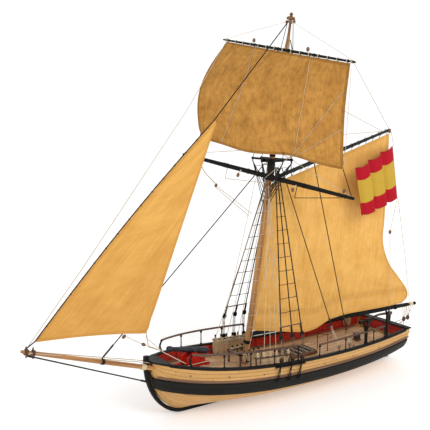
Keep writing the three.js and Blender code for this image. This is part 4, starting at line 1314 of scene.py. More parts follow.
def mainsail_surface(u, v):
    fore, aft = lerp(*MAIN_LUFF, v), MAIN_LEECH(v)
    foot_chord = lerp(MAIN_LUFF[0], MAIN_LEECH(0), u)
    point = lerp(fore, aft, u) + (MAIN_FOOT(u) - foot_chord) * (1 - v) ** 9
    point[1] -= 8 * belly(u, v)
    pucker = 0.55 * math.sin(u * 95) * math.exp(-(((v - 0.085) / 0.05) ** 2)) * math.sin(math.pi * u)
    luff_folds = 0.8 * math.sin(v * math.tau * 13) * math.exp(-u * 14)
    broad = 1.3 * math.sin(math.pi * u) * math.sin(7 * (u - 0.55 * v) + 0.6)
    broad *= math.sin(math.pi * min(v * 1.05, 1))
    near_clew = 1.6 * math.sin(9 * u + 16 * v) * max(u - 0.6, 0) * math.exp(-v * 6)
    point[1] += pucker + luff_folds + broad + near_clew
    return point


PORT_CLEW, STARBOARD_CLEW = vec(24, -92, 305.6), vec(-70, 88, 341)


def topsail_surface(u, v):
    port = lerp(PORT_CLEW, on_yard(TOPSAIL_YARD, 116, 0, -2.6), v) + vec(0, 4 * math.sin(math.pi * v), 0)
    starboard = lerp(STARBOARD_CLEW, on_yard(TOPSAIL_YARD, -116, 0, -2.6), v)
    point = lerp(port, starboard, u)
    foot_push = 8 * max(math.sin(math.pi * u), 0) ** 0.7 * (1 - v) ** 4
    point[0] -= 16 * belly(u, v) + 24 * u * math.sin(math.pi * v) + foot_push
    lifted, dropped = math.exp(-(((u - 0.3) / 0.14) ** 2)), math.exp(-(((u - 0.62) / 0.14) ** 2))
    point[2] += (5 * lifted - 2.4 * dropped) * (1 - v) ** 5
    fold = math.exp(-(((u - 0.3 - 0.34 * v) / 0.09) ** 2)) * math.sin(math.pi * min(max(v * 1.3 - 0.1, 0), 1))
    second = math.exp(-(((u - 0.72 + 0.2 * v) / 0.1) ** 2)) * math.sin(math.pi * v)
    head_folds = 0.7 * math.sin(u * math.tau * 14) * math.exp(-(1 - v) * 12)
    clew_folds = sum(
        math.sin(22 * math.atan2(v * 0.6 + 0.02, abs(u - end) + 0.02)) * math.exp(-6 * math.hypot(v, u - end))
        for end in (0, 1)
    )
    point[0] += 7.5 * fold + 2.4 * second + head_folds + 0.9 * clew_folds
    return point


JIB_TACK, JIB_HEAD, JIB_CLEW = vec(-352, -8.5, 127.5), vec(-110, -2.8, 366), vec(-217.4, -15.5, 116)


def jib_luff(v):
    """The jib's fore edge, bowed out along the stay that it is hanked to."""
    return lerp(JIB_TACK, JIB_HEAD, v) + vec(-3.4, 0, 3.4) * math.sin(math.pi * v)


def jib_surface(u, v):
    point = lerp(jib_luff(v), lerp(JIB_CLEW, JIB_HEAD + vec(2, -0.3, -3), v), u)
    point[1] -= 7 * belly(u, v)
    point[2] += 3 * math.sin(math.pi * u) * math.exp(-12 * v)
    luff_folds = 0.9 * math.sin(v * math.tau * 15) * math.exp(-u * 12) * (1 - v)
    clew_folds = 0.9 * math.sin(20 * math.atan2(v + 0.02, 1.02 - u)) * math.exp(-4 * math.hypot(v, 1 - u))
    broad = 1.6 * math.sin(math.pi * v) * math.sin(math.pi * u) * math.sin(6 * u + 5 * v)
    point[1] += luff_folds + clew_folds * (1 - v) + broad
    return point


def flag_surface(u, v):
    """Hung by its hoist in three pleats, a little shallower towards the head."""
    fly = lerp(vec(94, -58, 236), vec(80, -58, 300), v)
    hoist = lerp(vec(176, -46, 255), vec(163, -46, 329), v)
    point = lerp(fly, hoist, u)
    turn = math.tau * 3 * (u - 0.68)
    free = min(1, 5 * (1 - u) + 0.1)
    point[1] += 4.4 * math.sin(turn + 0.6 * math.sin(turn) + 0.4 * v) * (1 - 0.25 * v) * free
    point[2] += 1.3 * math.cos(turn) * free - 0.8 * math.sin(math.pi * u)
    return point


TOPSAIL_BLEND = ("course_yard", "topsail_yard", mast_point(310), mast_point(455))


def build_sails(mats):
    cloth(
        "mainsail_cloth", mainsail_surface, 150, 90, 0.5, mats["main"], "main_rig", "sailcloth", "mainsail",
        flat=(0.262, 0.268), area=0.0446, held="stretched", rests_on=["boom", "gaff"],
    )
    cloth(
        "topsail_cloth", topsail_surface, 110, 70, 0.5, mats["topsail"],
        TOPSAIL_BLEND, "sailcloth", "topsail",
        flat=(0.236, 0.152), area=0.0309, held="stretched", rests_on=["topsail_yard", "course_yard"],
    )
    cloth(
        "jib_cloth", jib_surface, 60, 100, 0.5, mats["jib"], "jib", "sailcloth", "jib",
        flat=(0.138, 0.342), area=0.0185, held="stretched", rests_on=["topmast_stay"],
    )
    cloth(
        "flag_cloth", flag_surface, 90, 40, 0.4, mats["flag"], "main_rig", "flag_cloth", "flag",
        flat=(0.1, 0.076), area=None, held="hung", rests_on=["gaff"],
    )
    shape = Shape()
    for v in np.linspace(0.03, 0.98, 13):
        eye = mainsail_surface(0.006, v)
        z = eye[2]
        radius = mast_radius(z) + 0.6
        shape.ring(mast_point(z), MAST_LINE, radius, 0.35, 24)
        shape.rope([mast_point(z, radius), eye], 0.4)
    make(shape, "mast_hoops", mats["light_rope"], "main_rig", "light_rope")
    shape = Shape()
    for share in np.linspace(0.03, 0.98, 16):
        eye = mainsail_surface(share, 0.995)
        at = lerp(GAFF_HEEL, GAFF_PEAK, 0.05 + 0.93 * share)
        shape.ring(at, GAFF_PEAK - GAFF_HEEL, 3.0, 0.3, 16)
        shape.rope([at - vec(0, 0, 3), eye], 0.3)
    make(shape, "gaff_lacing", mats["dark_rope"], "main_rig", "dark_rope")
    shape = Shape()
    for share in np.linspace(0.06, 0.96, 15):
        shape.ring(jib_luff(share) + vec(-0.4, 0, 0.4), JIB_HEAD - JIB_TACK, 1.3, 0.3, 14)
    make(shape, "jib_hanks", mats["brown_rope"], "hull", "light_rope")


# ---- Standing rigging ----------------------------------------------------------------------------
SHROUD_X = (-48.3, -30.1, -13.5)
DEADEYE_Y = 64
SHROUD_TOPS = ((-14.5, 5.2, 303), (-12, 5.2, 303), (-9.5, 5.2, 303))
RATLINE_STEP = 17


def deadeye(shape, at):
    rim = [(0, 2.1), (0.15, 2.9), (0.36, 3.0), (0.5, 2.5), (0.64, 3.0), (0.85, 2.9), (1, 2.1)]
    shape.turned(at - vec(0, 1.6, 0), at + vec(0, 1.6, 0), rim, 20)


def block(shape, at, along=(0, 0, 1), half=3.0):
    """A rigging block's egg-shaped shell."""
    shape.ball(np.asarray(at, float), along, half, half * 0.72, 14)


def shrouds(word, side, mats):
    ropes, eyes, lanyards, plates = Shape(), Shape(), Shape(), Shape()
    pairs = []
    for x, top in zip(SHROUD_X, SHROUD_TOPS):
        upper = vec(x, side * (DEADEYE_Y - 1.5), 92)
        lower = vec(x, side * DEADEYE_Y, rail_height(station(x)) + 7.5)
        top = vec(top[0], side * top[1], top[2])
        pairs.append((upper, top))
        ropes.rope([upper + vec(0, 0, 2), top], 0.75, 8)
        ropes.rope([lerp(upper, top, 0.012), lerp(upper, top, 0.06)], 1.35, 8)
        for at in (upper, lower):
            deadeye(eyes, at)
            ropes.ring(at, (0, 1, 0), 3.0, 0.65, 20)
        for shift in (-1.6, 0, 1.6):
            lanyards.rope([upper + vec(shift, side * 1.7, -1), lower + vec(shift * 1.1, side * 1.7, 1)], 0.35)
        s = station(x)
        for lean in (-7, -3):
            foot = hull_point(station(x + lean), share_at(s, wale_top(s) - 4), 2.9, side)
            plates.rope([lower - vec(0, 0, 3), foot], 0.62)
        plate = station(x - 5)
        plates.ball(hull_point(plate, share_at(plate, wale_top(plate) - 4), 2.8, side), (1, 0, 0), 3.4, 0.9)
        plates.rope([lower - vec(0, 0, 4.5), lower - vec(0, 0, 2.5)], 1.2)

    def at_height(pair, z):
        return lerp(*pair, (z - pair[0][2]) / (pair[1][2] - pair[0][2]))

    pole = [at_height(pair, 105) + vec(0, side * 0.9, 0) for pair in pairs]
    fore, after = lerp(pole[0], pole[2], -0.08), lerp(pole[0], pole[2], 1.08)
    sheer_pole = Shape()
    sheer_pole.turned(fore, after, [(0, 0.5), (0.03, 0.8), (0.97, 0.8), (1, 0.5)], 12)
    make(sheer_pole, f"sheer_pole_{word}", mats["walnut"], "hull", "walnut")
    for z in np.arange(105 + RATLINE_STEP, 292, RATLINE_STEP):
        ends = [at_height(pair, z) for pair in pairs]
        path = [
            lerp(ends[0], ends[1], -0.08), *sagging(ends[0], ends[1], 0.5, 4),
            *sagging(ends[1], ends[2], 0.5, 4)[1:],
        ]
        ropes.rope([*path, lerp(ends[1], ends[2], 1.08)], 0.4)
        for end in ends:
            ropes.ball(end, (0, 0, 1), 1.0, 0.95, 8)
    for low, high in ((pairs[0][1], pairs[1][1]), (pairs[1][1], pairs[2][1])):
        ropes.rope([low, high], 1.2, 8)
    make(ropes, f"shroud_ropes_{word}", mats["dark_rope"], "hull", "dark_rope", [f"shrouds_{word}"])
    make(eyes, f"deadeyes_{word}", mats["black"], "hull", "black_paint")
    make(lanyards, f"lanyards_{word}", mats["brown_rope"], "hull", "light_rope")
    make(plates, f"chainplates_{word}", mats["black"], "hull", "black_paint")


def topmast_shrouds(word, side, mats):
    ropes = Shape()
    for shift in (-7.5, 7.5):
        arm = vec(mast_point(CROSSTREES)[0] + shift, side * (ARM_REACH - 1.5), CROSSTREES + 2)
        ropes.rope([mast_point(495, shift * 0.3, side * 2.6), arm], 0.42)
        ropes.rope([arm + vec(0, 0, 2), arm - vec(0, 0, 5)], 0.8)
        for drop in (256, 264, 272, 280):
            ropes.rope([arm - vec(0, 0, 4), mast_point(drop, shift * 0.3, side * 3.4)], 0.5)
    for share in (0.25, 0.5, 0.75):
        left, right = [
            lerp(
                vec(mast_point(CROSSTREES)[0] + shift, side * (ARM_REACH - 1.5), CROSSTREES),
                mast_point(280, shift * 0.3, side * 3.4),
                share,
            )
            for shift in (-7.5, 7.5)
        ]
        ropes.rope([left, right], 0.35)
    make(ropes, f"topmast_shrouds_{word}", mats["dark_rope"], "hull", "dark_rope")


def backstays(word, side, mats):
    ropes, tackles, blocks = Shape(), Shape(), Shape()
    rail = rail_height(station(70)) + 2.7
    y = side * 55.9
    for foot_x, top, hang in ((60, (-4.5, 6.5, 303), 88), (80, (9.5, 3.6, 470), 78)):
        foot, head = vec(foot_x, y, rail), vec(top[0], side * top[1], top[2])
        at = lerp(foot, head, (hang - rail) / (head[2] - rail))
        ropes.rope([at, head], 0.6, 8)
        ropes.rope([at, lerp(at, head, 0.05)], 1.1, 8)
        block(blocks, at - vec(0, 0, 2))
        block(blocks, foot + vec(0, 0, 5))
        for shift in (-1.4, 0, 1.4):
            tackles.rope([at + vec(shift, side * 0.8, -4), foot + vec(shift, side * 0.8, 6)], 0.28)
        blocks.rope([foot, foot + vec(0, 0, 3)], 0.8)
    ropes.ring(mast_point(303), MAST_LINE, 4.4, 0.8)
    make(ropes, f"backstay_ropes_{word}", mats["dark_rope"], "hull", "dark_rope", [f"backstays_{word}"])
    make(tackles, f"backstay_tackles_{word}", mats["light_rope"], "hull", "light_rope")
    make(blocks, f"backstay_blocks_{word}", mats["moulding"], "hull", "walnut")


def stays(mats):
    ropes = Shape()
    low, high = vec(-271.5, -7.5, 93.6), vec(-30, -1.2, 309)
    ropes.rope([low, high], 0.65, 8)
    ropes.rope([lerp(low, high, 0.005), lerp(low, high, 0.06)], 1.1, 10)
    ropes.rope([high, mast_point(308)], 0.8, 8)
    along = unit(BOWSPRIT_TIP - BOWSPRIT_HEEL)
    heel = BOWSPRIT_HEEL + along * ((low[0] - BOWSPRIT_HEEL[0]) / along[0])
    for k in range(4):
        ropes.ring(heel + along * (k - 1.5) * 1.1, along, 3.0, 0.5, 20)
    ropes.rope([heel, low], 1.0, 8)
    make(ropes, "forestay_rope", mats["dark_rope"], "hull", "dark_rope", ["forestay"])
    ropes = Shape()
    luff = [jib_luff(v) + vec(-0.6, 0, 0.6) for v in np.linspace(0, 1, 24)]
    ropes.rope([vec(-362, -7.5, 121.6), *luff, mast_point(495, -2.5)], 0.75, 8)
    make(ropes, "topmast_stay_rope", mats["dark_rope"], "hull", "light_rope", ["topmast_stay"])
    ropes = Shape()
    start, end = vec(-361, -7.5, 113.2), vec(-210, -1, 49.6)
    ropes.rope([start, end], 0.85, 8)
    ropes.rope([start, lerp(start, end, 0.05)], 1.3, 8)
    ropes.rope([lerp(start, end, 0.95), end], 1.3, 8)
    make(ropes, "bobstay_rope", mats["dark_rope"], "hull", "dark_rope", ["bobstay"])
    collars = Shape()
    for z in np.linspace(288, 308, 10):
        collars.ring(mast_point(z), MAST_LINE, 4.4, 1.3, 24)
    make(collars, "shroud_collars", mats["dark_rope"], "hull", "dark_rope")
    ropes = Shape()
    for side, foot in ((PORT, (-208, -3.5, 74)), (STARBOARD, (-206, 3.5, 74))):
        ropes.rope([BOWSPRIT_TIP + vec(7, side * 3.4, -2), foot], 0.5)
    ropes.rope([(-239, -7.5, 113), (-218, -6, 100), (-196.4, -4, 89.4)], 0.5)
    make(ropes, "bowsprit_guys", mats["light_rope"], "hull", "light_rope")
    blocks = Shape()
    block(blocks, (-216.6, -7, 99.5), (1, 0, -0.6))
    block(blocks, (-243, -7.5, 114), (1, 0, 0.8))
    for x_out, y_out in ((4, 3), (-4, -3), (-3, 4), (3, -4.5)):
        block(blocks, mast_point(493.5, x_out, y_out), half=2.4)
    make(blocks, "stay_blocks", mats["moulding"], "hull", "walnut")


def build_standing_rigging(mats):
    for word, side in SIDES:
        shrouds(word, side, mats)
        topmast_shrouds(word, side, mats)
        backstays(word, side, mats)
    stays(mats)


# ---- Running rigging -----------------------------------------------------------------------------
def lines(name, paths, radius, material, body, slot):
    shape = Shape()
    for path in paths:
        shape.rope([np.asarray(p, float) for p in path], radius)
    make(shape, name, material, body, slot)


def blocks_at(name, places, material, body, half=3.0):
    shape = Shape()
    for at, along in places:
        block(shape, at, along, half)
        shape.ring(np.asarray(at, float), np.cross(unit(along), (0.4, 0.8, 0.2)), half * 0.86, 0.45, 16)
    make(shape, name, material, body, "walnut")


def over_sail(*stops):
    """A line led over the front of the topsail, through places given as (u, v) on the cloth."""
    path = []
    for (u0, v0), (u1, v1) in zip(stops[:-1], stops[1:]):
        for t in np.linspace(0, 1, 12):
            path.append(topsail_surface(lerp(u0, u1, t), lerp(v0, v1, t)) - vec(1.4, 0, 0))
    return path


def topsail_lines(light, brown):
    top_head = mast_point(495)
    port_tip, starboard_tip = on_yard(TOPSAIL_YARD, 120, 0, 1.6), on_yard(TOPSAIL_YARD, -120, 0, 1.6)
    lines(
        "topsail_lifts", [(top_head, port_tip), (top_head, starboard_tip)], 0.25, light, "topsail_yard",
        "light_rope",
    )
    jeers = [(on_yard(TOPSAIL_YARD, reach, 1, 6), (0, 0, 1)) for reach in (-57, 46)]
    blocks_at("topsail_blocks", jeers, brown, "topsail_yard", 3.1)
    clew = vec(24, -94, 309)
    fronts = [
        [
            on_yard(TOPSAIL_YARD, -51, 3),
            *over_sail((0.72, 0.985), (0.66, 0.77), (0.645, 0.53), (0.7, 0.27), (0.79, 0.03)),
        ],
        [
            on_yard(TOPSAIL_YARD, 54, 3),
            *over_sail((0.27, 1), (0.236, 0.8), (0.223, 0.57), (0.235, 0.32), (0.268, 0.06)),
        ],
        [on_yard(TOPSAIL_YARD, 118, 0, -8), clew],
    ]
    lines("buntlines", fronts, 0.3, light, TOPSAIL_BLEND, "light_rope")
    bowlines = [
        [
            *over_sail((0.012, 0.747), (0.068, 0.585), (0.125, 0.42), (0.19, 0.245), (0.272, 0.045)),
            vec(-31.5, -5, 291),
        ],
        [*over_sail((0, 0.39), (0.118, 0.228), (0.254, 0.03)), vec(-10, -12, 314)],
    ]
    lines("bowlines", bowlines, 0.32, light, TOPSAIL_BLEND, "light_rope")


def course_yard_lines(light, dark, brown):
    course = "course_yard"
    clews = [(PORT_CLEW, on_yard(COURSE_YARD, 118, 0, 3)), (STARBOARD_CLEW, on_yard(COURSE_YARD, -118, 0, 3))]
    lines("topsail_sheets", clews, 0.6, dark, course, "dark_rope")
    lines("foot_rope_port", [((-7, -36, 266), (25.5, -88, 269))], 0.5, dark, course, "dark_rope")
    starboard = [((-60, 45, 288), (-24, 0, 283.5)), ((-60, 45, 288), (-56, 44, 306))]
    lines("foot_rope_starboard", starboard, 0.45, light, course, "light_rope")
    straps = [(on_yard(COURSE_YARD, 108), (25.5, -88, 269)), (on_yard(COURSE_YARD, 46), (-7, -36, 266))]
    lines("foot_rope_straps", straps, 0.45, dark, course, "dark_rope")
    lifts = [
        (mast_point(329, 0, -side), on_yard(COURSE_YARD, -side * 116, 0, 2)) for side in (PORT, STARBOARD)
    ]
    lines("course_lifts", lifts, 0.4, light, course, "light_rope")
    hanging = [
        ((-50.9, 80, 275.2), (0.3, 0, 1)), ((-12, -38, 277), (0.1, 0, 1)), ((30.5, -88, 277.4), (0.3, 0, 1)),
        ((-52.6, 26, 293.7), (0.2, 0, 1)), ((-30, -3, 281), (0, 0, 1)),
    ]
    blocks_at("course_blocks", hanging, brown, course)
    pendants = [
        (on_yard(COURSE_YARD, -100), (-66, 86, 294), (-52, 80.5, 278)),
        (on_yard(COURSE_YARD, 46), (-12, -38, 280)),
        (on_yard(COURSE_YARD, 106), (30.5, -88, 275)),
        ((-44.4, 26, 302.6), (-52.6, 26, 296)),
        (on_yard(COURSE_YARD, 0, -3, 2), mast_point(306, -4)),
    ]
    lines("pendants", pendants, 0.65, light, course, "light_rope")
    falls = [((-50.9, 80, 272), (-23.3, 40, 234.7)), ((-48, 80, 273), (-21.2, 36, 237.8))]
    lines(
        "brace_falls", falls, 0.42, light, (course, "hull", vec(-50, 80, 272), vec(-22, 38, 236)),
        "light_rope",
    )


def gaff_lines(light, brown):
    peak = lerp(GAFF_HEEL, GAFF_PEAK, 0.93) + vec(0, 0, 2)
    rig = "main_rig"
    halyards = [
        (mast_point(420, 1), peak), (mast_point(340, 1), peak),
        (mast_point(339, 2), lerp(GAFF_HEEL, GAFF_PEAK, 0.5)),
    ]
    lines("peak_halyards", halyards, 0.42, light, rig, "light_rope")
    flag_lines = [
        (GAFF_PEAK - vec(2, 3, 2), (165, -46.6, 329)),
        ((176, -46.6, 255), (164.9, -45, 206.4), (177, -38, 109), (184, -31.5, 91)),
        ((177, -46.6, 255), (200, -43, 172), (220, -38, 92)),
    ]
    lines("flag_halyard", flag_lines, 0.35, light, rig, "light_rope")
    hanging = [
        ((163.1, -39.6, 349.7), (0.2, 0, 1)),
        (lerp(GAFF_HEEL, GAFF_PEAK, 0.5) + vec(0, 0, 4), (0, 0, 1)),
        ((60, -14.5, 80), (0, 0, 1)),
        ((164.9, -45, 206.4), (0, 0, 1)),
    ]
    blocks_at("spar_blocks", hanging, brown, rig)
    yardarm, brace_block = on_yard(TOPSAIL_YARD, 121), vec(163, -38.6, 353)
    bend = ("hull", rig, yardarm + unit(brace_block - yardarm), brace_block - vec(0, 0, 1))
    lines("topsail_brace", [(yardarm, brace_block)], 0.42, light, bend, "light_rope")


def sheet_lines(light, walnut):
    """The main sheet's tackles under the boom, the jib's sheets and the bowline bridle."""
    rig = "main_rig"
    hung = (vec(214, -33.5, 68), vec(222.5, -33.5, 69))
    spans = [(at + vec(shift, 0, 3), (at[0] + shift * 2.2, -34.6, 88)) for at in hung for shift in (-2, 0, 2)]
    lines(
        "main_sheet_spans", [*spans, (hung[1] + vec(0, 0, 3), (231, -36.4, 88.6))], 0.4, light, rig,
        "light_rope",
    )
    blocks_at("sheet_blocks", [(at, (0.1, 0, 1)) for at in hung], walnut, rig, 3.8)
    falls = [
        (hung[0], (206, -31, 57)), (hung[0], (210, -36, 56)), (hung[1], (211, -24, 57)),
        (hung[1], (209, -14, 57)),
    ]
    lines(
        "main_sheet", falls, 0.5, light, ("hull", rig, vec(207, -29, 58), vec(215, -33.5, 66)),
        "light_rope",
    )
    jib_lines = [
        (JIB_CLEW, (-214, -9, 108), (-194.4, -15, 88.2), (-171, -30, 73)),
        (JIB_CLEW, (-205, 2, 92), (-171, 33, 73)),
    ]
    lines(
        "jib_sheets", jib_lines, 0.5, light, ("hull", "jib", vec(-194, -12, 80), vec(-216, -12, 112)),
        "light_rope",
    )
    tip, far = BOWSPRIT_TIP + vec(8, 1, 3), on_yard(TOPSAIL_YARD, -116)
    bridle = (tip, (-287.4, 5, 200.6), (-97.9, 80, 379.1), far)
    bend = ("hull", "course_yard", tip, tip + (far - tip) / 0.4329)
    lines("bowline_bridle", [bridle], 0.4, light, bend, "light_rope")


def build_running_rigging(mats):
    light, dark, brown = mats["light_rope"], mats["dark_rope"], mats["moulding"]
    topsail_lines(light, brown)
    course_yard_lines(light, dark, brown)
    gaff_lines(light, brown)
    sheet_lines(light, mats["walnut"])


PIN_X = np.linspace(-75, -25, 6)


def pin_top(x, side):
    s = station(x)
    return rail_point(s, -11, rail_height(s) + 9, side)


def hank(shape, at, side, length, turns):
    """A coil of line hung over a pin: long loops side by side."""
    for k in range(turns):
        shift = vec((k - turns / 2) * 0.9, -side * (0.6 * (k % 3)), 0)
        turns_round = np.linspace(0, math.tau, 22, endpoint=False)
        path = []
        for t in turns_round:
            wide = 2.7 * (0.75 + 0.25 * math.cos(t)) * (1 - 0.12 * (k % 2))
            out, drop = 0.8 + 0.5 * math.cos(t), length / 2 * (1 - math.cos(t))
            path.append(at + shift + vec(wide * math.sin(t), -side * out, -drop))
        shape.tube(path, 0.42, 6, closed=True)
    for k in range(3):
        shape.ring(at + vec(0, 0, -0.8 + k * 0.9), (0, 0.15, 1), 1.4, 0.42, 14)


def pins(shape, at, up=7.0, down=6.0):
    profile = [
        (0, 0.6), (0.08, 0.9), (0.45, 0.9), (0.5, 1.3), (0.56, 0.95), (0.75, 0.85), (0.9, 1.35), (1, 0.7)
    ]
    shape.turned(at - vec(0, 0, down), at + vec(0, 0, up), profile, 12)


def build_pin_rails(mats):
    for word, side in SIDES:
        rail, heads, coils = Shape(), Shape(), Shape()
        rows = []
        section = ((-2, -0.9), (2, -0.9), (2.2, 0), (2, 0.9), (-2, 0.9), (-2.2, 0))
        for x in np.linspace(-79, -21, 12):
            at = pin_top(x, side)
            rows.append([at + vec(0, dy, dz) for dy, dz in section])
        rail.solid(rows)
        for x in (-77, -23):
            top = pin_top(x, side)
            foot = vec(top[0], top[1], deck_z(station(x), top[1]))
            rail.turned(foot, top, [(0, 1.7), (0.1, 1.3), (0.5, 1.1), (0.9, 1.4), (1, 1.2)], 14)
        make(rail, f"pin_rail_plank_{word}", mats["walnut"], "hull", "walnut", [f"pin_rail_{word}"])
        for k, x in enumerate(PIN_X):
            at = pin_top(x, side)
            pins(heads, at)
            if side == STARBOARD:
                hank(coils, at + vec(0, 0, 1.6), side, 21 + 4 * (k % 3), 6)
            else:
                hank(coils, at + vec(0, 0, 1.6), side, 12 + 2 * (k % 2), 3)
                for turn in range(5):
                    coils.ring(at + vec(0, 0, 1.6 + 0.8 * turn), (0, 0.1, 1), 1.6, 0.5, 14)
        finish = mats["black"] if side == STARBOARD else mats["pale"]
        make(heads, f"belaying_pins_{word}", finish, "hull", "black_paint")
        make(coils, f"line_coils_{word}", mats["tan_rope"], "hull", "light_rope")
    build_fife_rail(mats)
    falls = []
    for x in PIN_X[1:5]:
        falls.append((mast_point(281, -2.5, -3.4), pin_top(x, PORT) + vec(0, 0, 2)))
    for x, head in zip(PIN_X[::2], (289, 300, 275)):
        falls.append((mast_point(head, 1, 3.6), pin_top(x, STARBOARD) + vec(0, 0, 2)))
    falls.append(((-37.3, 8, 289.5), (-49.3, 10, 235), pin_top(-65, STARBOARD) + vec(0, 0, 2)))
    falls.append(((-17, -4.5, 206.8), (-64.1, -13, 60)))
    lines("halyard_falls", falls, 0.36, mats["light_rope"], "hull", "light_rope")


def build_fife_rail(mats):
    deck = deck_z(station(-60))
    top = deck + 17
    rail, heads, coils = Shape(), Shape(), Shape()
    for side in (PORT, STARBOARD):
        for x in (-76, -42):
            rail.turned(
                (x, side * 13, deck), (x, side * 13, top),
                [(0, 1.9), (0.1, 1.4), (0.5, 1.1), (0.9, 1.6), (1, 1.6)], 14,
            )
        rail.box((38, 4, 2.0), (-59, side * 13, top))
        for x in (-70, -62, -54, -46):
            at = vec(x, side * 13, top)
            pins(heads, at, 5.5, 5)
            hank(coils, at + vec(0, 0, 1.4), -side, 11, 4)
    rail.box((4, 30, 2.0), (-76, 0, top))
    make(rail, "fife_rail_frame", mats["walnut"], "hull", "walnut", ["fife_rail"], bevel=0.3)
    make(heads, "fife_pins", mats["black"], "hull", "black_paint")
    make(coils, "fife_coils", mats["tan_rope"], "hull", "light_rope")


# ---- Guns, steering and stern gear ---------------------------------------------------------------
def bow_gun(mats):
    trunnion, angle = vec(-143, 0, 77.4), math.radians(12)
    along = vec(-math.cos(angle), 0, math.sin(angle))
    profile = [
        (0, 0.8), (0.02, 1.7), (0.05, 1.7), (0.07, 1.0), (0.09, 1.4), (0.1, 4.2), (0.12, 4.5), (0.15, 4.4),
        (0.28, 4.3), (0.29, 4.6), (0.31, 4.6), (0.32, 4.0), (0.52, 3.6), (0.53, 3.9), (0.55, 3.9),
        (0.56, 3.5), (0.88, 2.8), (0.9, 3.1), (0.94, 3.9), (0.97, 3.8), (1, 3.1),
    ]
    shape = Shape()
    shape.turned(trunnion - along * 29, trunnion + along * 37, profile, 32)
    shape.turned(
        trunnion - vec(0, 8.4, 0), trunnion + vec(0, 8.4, 0),
        [(0, 1.3), (0.03, 1.5), (0.97, 1.5), (1, 1.3)], 16,
    )
    make(shape, "bow_gun_barrel", mats["iron"], "gun_barrel", "gun_metal", ["gun_barrel"], sharp=25)
    # A black disc at the muzzle: painted shadow in place of the hollow bore.
    shape = Shape()
    shape.turned(trunnion + along * 36.8, trunnion + along * 37.15, [(0, 1.7), (1, 1.7)], 20)
    make(shape, "bow_gun_bore_shadow", mats["black"], "gun_barrel", "black_paint")
    shape = Shape()
    for side in (PORT, STARBOARD):
        for x in (-6, 8):
            shape.turned(
                (-143 + x, side * 7.6, 66.5), (-143 + x, side * 8.6, 66.5),
                [(0, 1.0), (0.6, 1.0), (1, 0.6)], 12,
            )
        shape.ring(vec(-131, side * 8.6, 69), (0, 1, 0), 1.5, 0.4, 14)
    make(shape, "carriage_bolts", mats["black"], "gun_carriage", "black_paint")
    low, high = [np.array(corner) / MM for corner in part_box("gun_slide")]
    shape = Shape()
    for side in (PORT, STARBOARD):
        path = [
            (low[0] + 3, side * 7, high[2] - 1), (-125, side * 11, high[2] + 1),
            (-118, side * 12, high[2] - 3), (high[0] - 2, side * 7, high[2] - 1),
        ]
        shape.rope(smooth_path(path, 18), 0.6)
    make(shape, "slide_tackles", mats["light_rope"], "gun_slide", "light_rope")


def swivel_gun(mats):
    at = vec(113, -54.1, 86)
    profile = [
        (0, 0.5), (0.04, 0.95), (0.1, 0.95), (0.13, 0.8), (0.15, 2.6), (0.2, 2.8), (0.45, 2.5),
        (0.46, 2.8), (0.49, 2.8), (0.5, 2.3), (0.88, 1.7), (0.92, 2.4), (0.98, 2.3), (1, 1.8),
    ]
    shape = Shape()
    shape.turned(at + vec(15, 0, 0), at - vec(14, 0, 0), profile, 28)
    shape.turned(at - vec(0, 4.2, 0), at + vec(0, 4.2, 0), [(0, 0.6), (0.1, 0.75), (0.9, 0.75), (1, 0.6)], 12)
    make(shape, "swivel_gun_barrel", mats["black"], "swivel_barrel", "gun_metal", ["swivel_barrel"], sharp=25)
    foot = vec(113, -54.1, rail_height(station(113)) + RAIL_TOP)
    shape = Shape()
    profile = [(0, 3.0), (0.06, 2.8), (0.1, 2.2), (0.5, 2.3), (0.8, 2.5), (0.86, 3.0), (0.97, 3.0), (1, 2.4)]
    shape.turned(foot, at - vec(0, 0, 9.6), profile, 8)
    make(shape, "swivel_stock", mats["black"], "hull", "walnut", ["swivel_post"], sharp=30)


def build_guns(mats):
    bow_gun(mats)
    swivel_gun(mats)


def crutch(mats):
    base = rail_height(station(155)) + RAIL_TOP
    foot, head = vec(155, -54, base), vec(155, -54, base + 36)
    shape = Shape()
    shape.turned(foot, head, [(0, 2.5), (0.06, 2.1), (0.9, 1.9), (0.94, 2.6), (1, 2.3)], 16)
    for side in (-1, 1):
        horn = [
            head - vec(0, 0, 1), head + vec(0, side * 2.0, 0.8), head + vec(0, side * 2.9, 3),
            head + vec(0, side * 2.8, 6),
        ]
        shape.tube(smooth_path(horn, 10), np.linspace(1.6, 0.9, 10), 10)
    make(shape, "crutch", mats["black"], "hull", "black_paint", ["boom_crutch"])


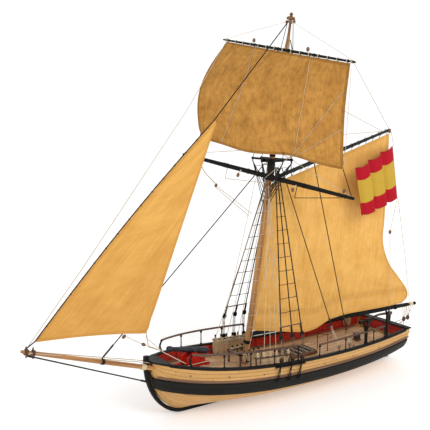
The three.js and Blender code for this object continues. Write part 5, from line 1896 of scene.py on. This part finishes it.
def steering(mats):
    """The tiller, and the rudder's brass straps down the raked sternpost."""
    shape = Shape()
    head_x = 207.6 + TRANSOM_RAKE * 69
    bar = smooth_path([(head_x, 0, 68.6), (195, 0, 69.4), (172, 0, 66.5), (153, 0, 64.6)], 20)
    shape.tube(bar, np.interp(np.linspace(0, 1, 20), (0, 0.3, 0.85, 1), (2.1, 1.6, 1.15, 1.7)), 14)
    shape.box((8, 5.0, 4.2), (head_x + 2.4, 0, 68.6))
    make(shape, "tiller_bar", mats["walnut"], "rudder", "walnut", ["tiller"])
    shape = Shape()
    for z in (12, 30, 48):
        hinge = 207.6 + TRANSOM_RAKE * z
        for side in (PORT, STARBOARD):
            shape.box((8.5, 0.5, 2.2), (hinge + 4.6, side * 1.85, z))
    make(shape, "rudder_straps", mats["brass"], "rudder", "brass", bevel=0.15)


def quarter_coils(mats):
    coils = Shape()
    for x, side, length in (
        (60, PORT, 9), (98, PORT, 13), (128, PORT, 10), (172, STARBOARD, 10), (180, STARBOARD, 12)
    ):
        s = station(x)
        hank(coils, rail_point(s, -5.5, rail_height(s) + 2, side), side, length, 4)
    make(coils, "quarter_coils", mats["tan_rope"], "hull", "light_rope")


def build_stern_gear(mats):
    crutch(mats)
    steering(mats)
    quarter_coils(mats)


# Material and width of the eased edges of each CAD piece that stays in view.
CAD_FINISHES = {
    "centre_former": ("ply", 0),
    "transom": ("stern", 0.3),
    "taffrail": ("black", 0.5),
    "hatch_coaming": ("walnut_cad", 0.4),
    "crosstrees": ("black", 0.35),
    "channel_port": ("black", 0.4),
    "channel_starboard": ("black", 0.4),
    "gun_slide": ("red_solid", 0.35),
    "gun_carriage": ("red_solid", 0.35),
    "swivel_yoke": ("black", 0.25),
    "rudder": ("black", 0.4),
    **{f"bulkhead_{k}": ("ply", 0) for k in range(1, 7)},
}


def finish_cad_nodes(mats):
    """Materials and eased edges for the CAD pieces that stay."""
    for name, (key, width) in CAD_FINISHES.items():
        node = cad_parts[name]
        node.data.materials.clear()
        node.data.materials.append(mats[key])
        if width:
            ease_edges(node, width)


# ---- The scene -----------------------------------------------------------------------------------
stand_camera()
light_studio()
lay_floor()
materials = make_materials()
build_hull(materials)
build_deck(materials)
build_hatch(materials)
build_fittings(materials)
build_rails(materials)
build_spars(materials)
build_sails(materials)
build_standing_rigging(materials)
build_running_rigging(materials)
build_pin_rails(materials)
build_guns(materials)
build_stern_gear(materials)
finish_cad_nodes(materials)
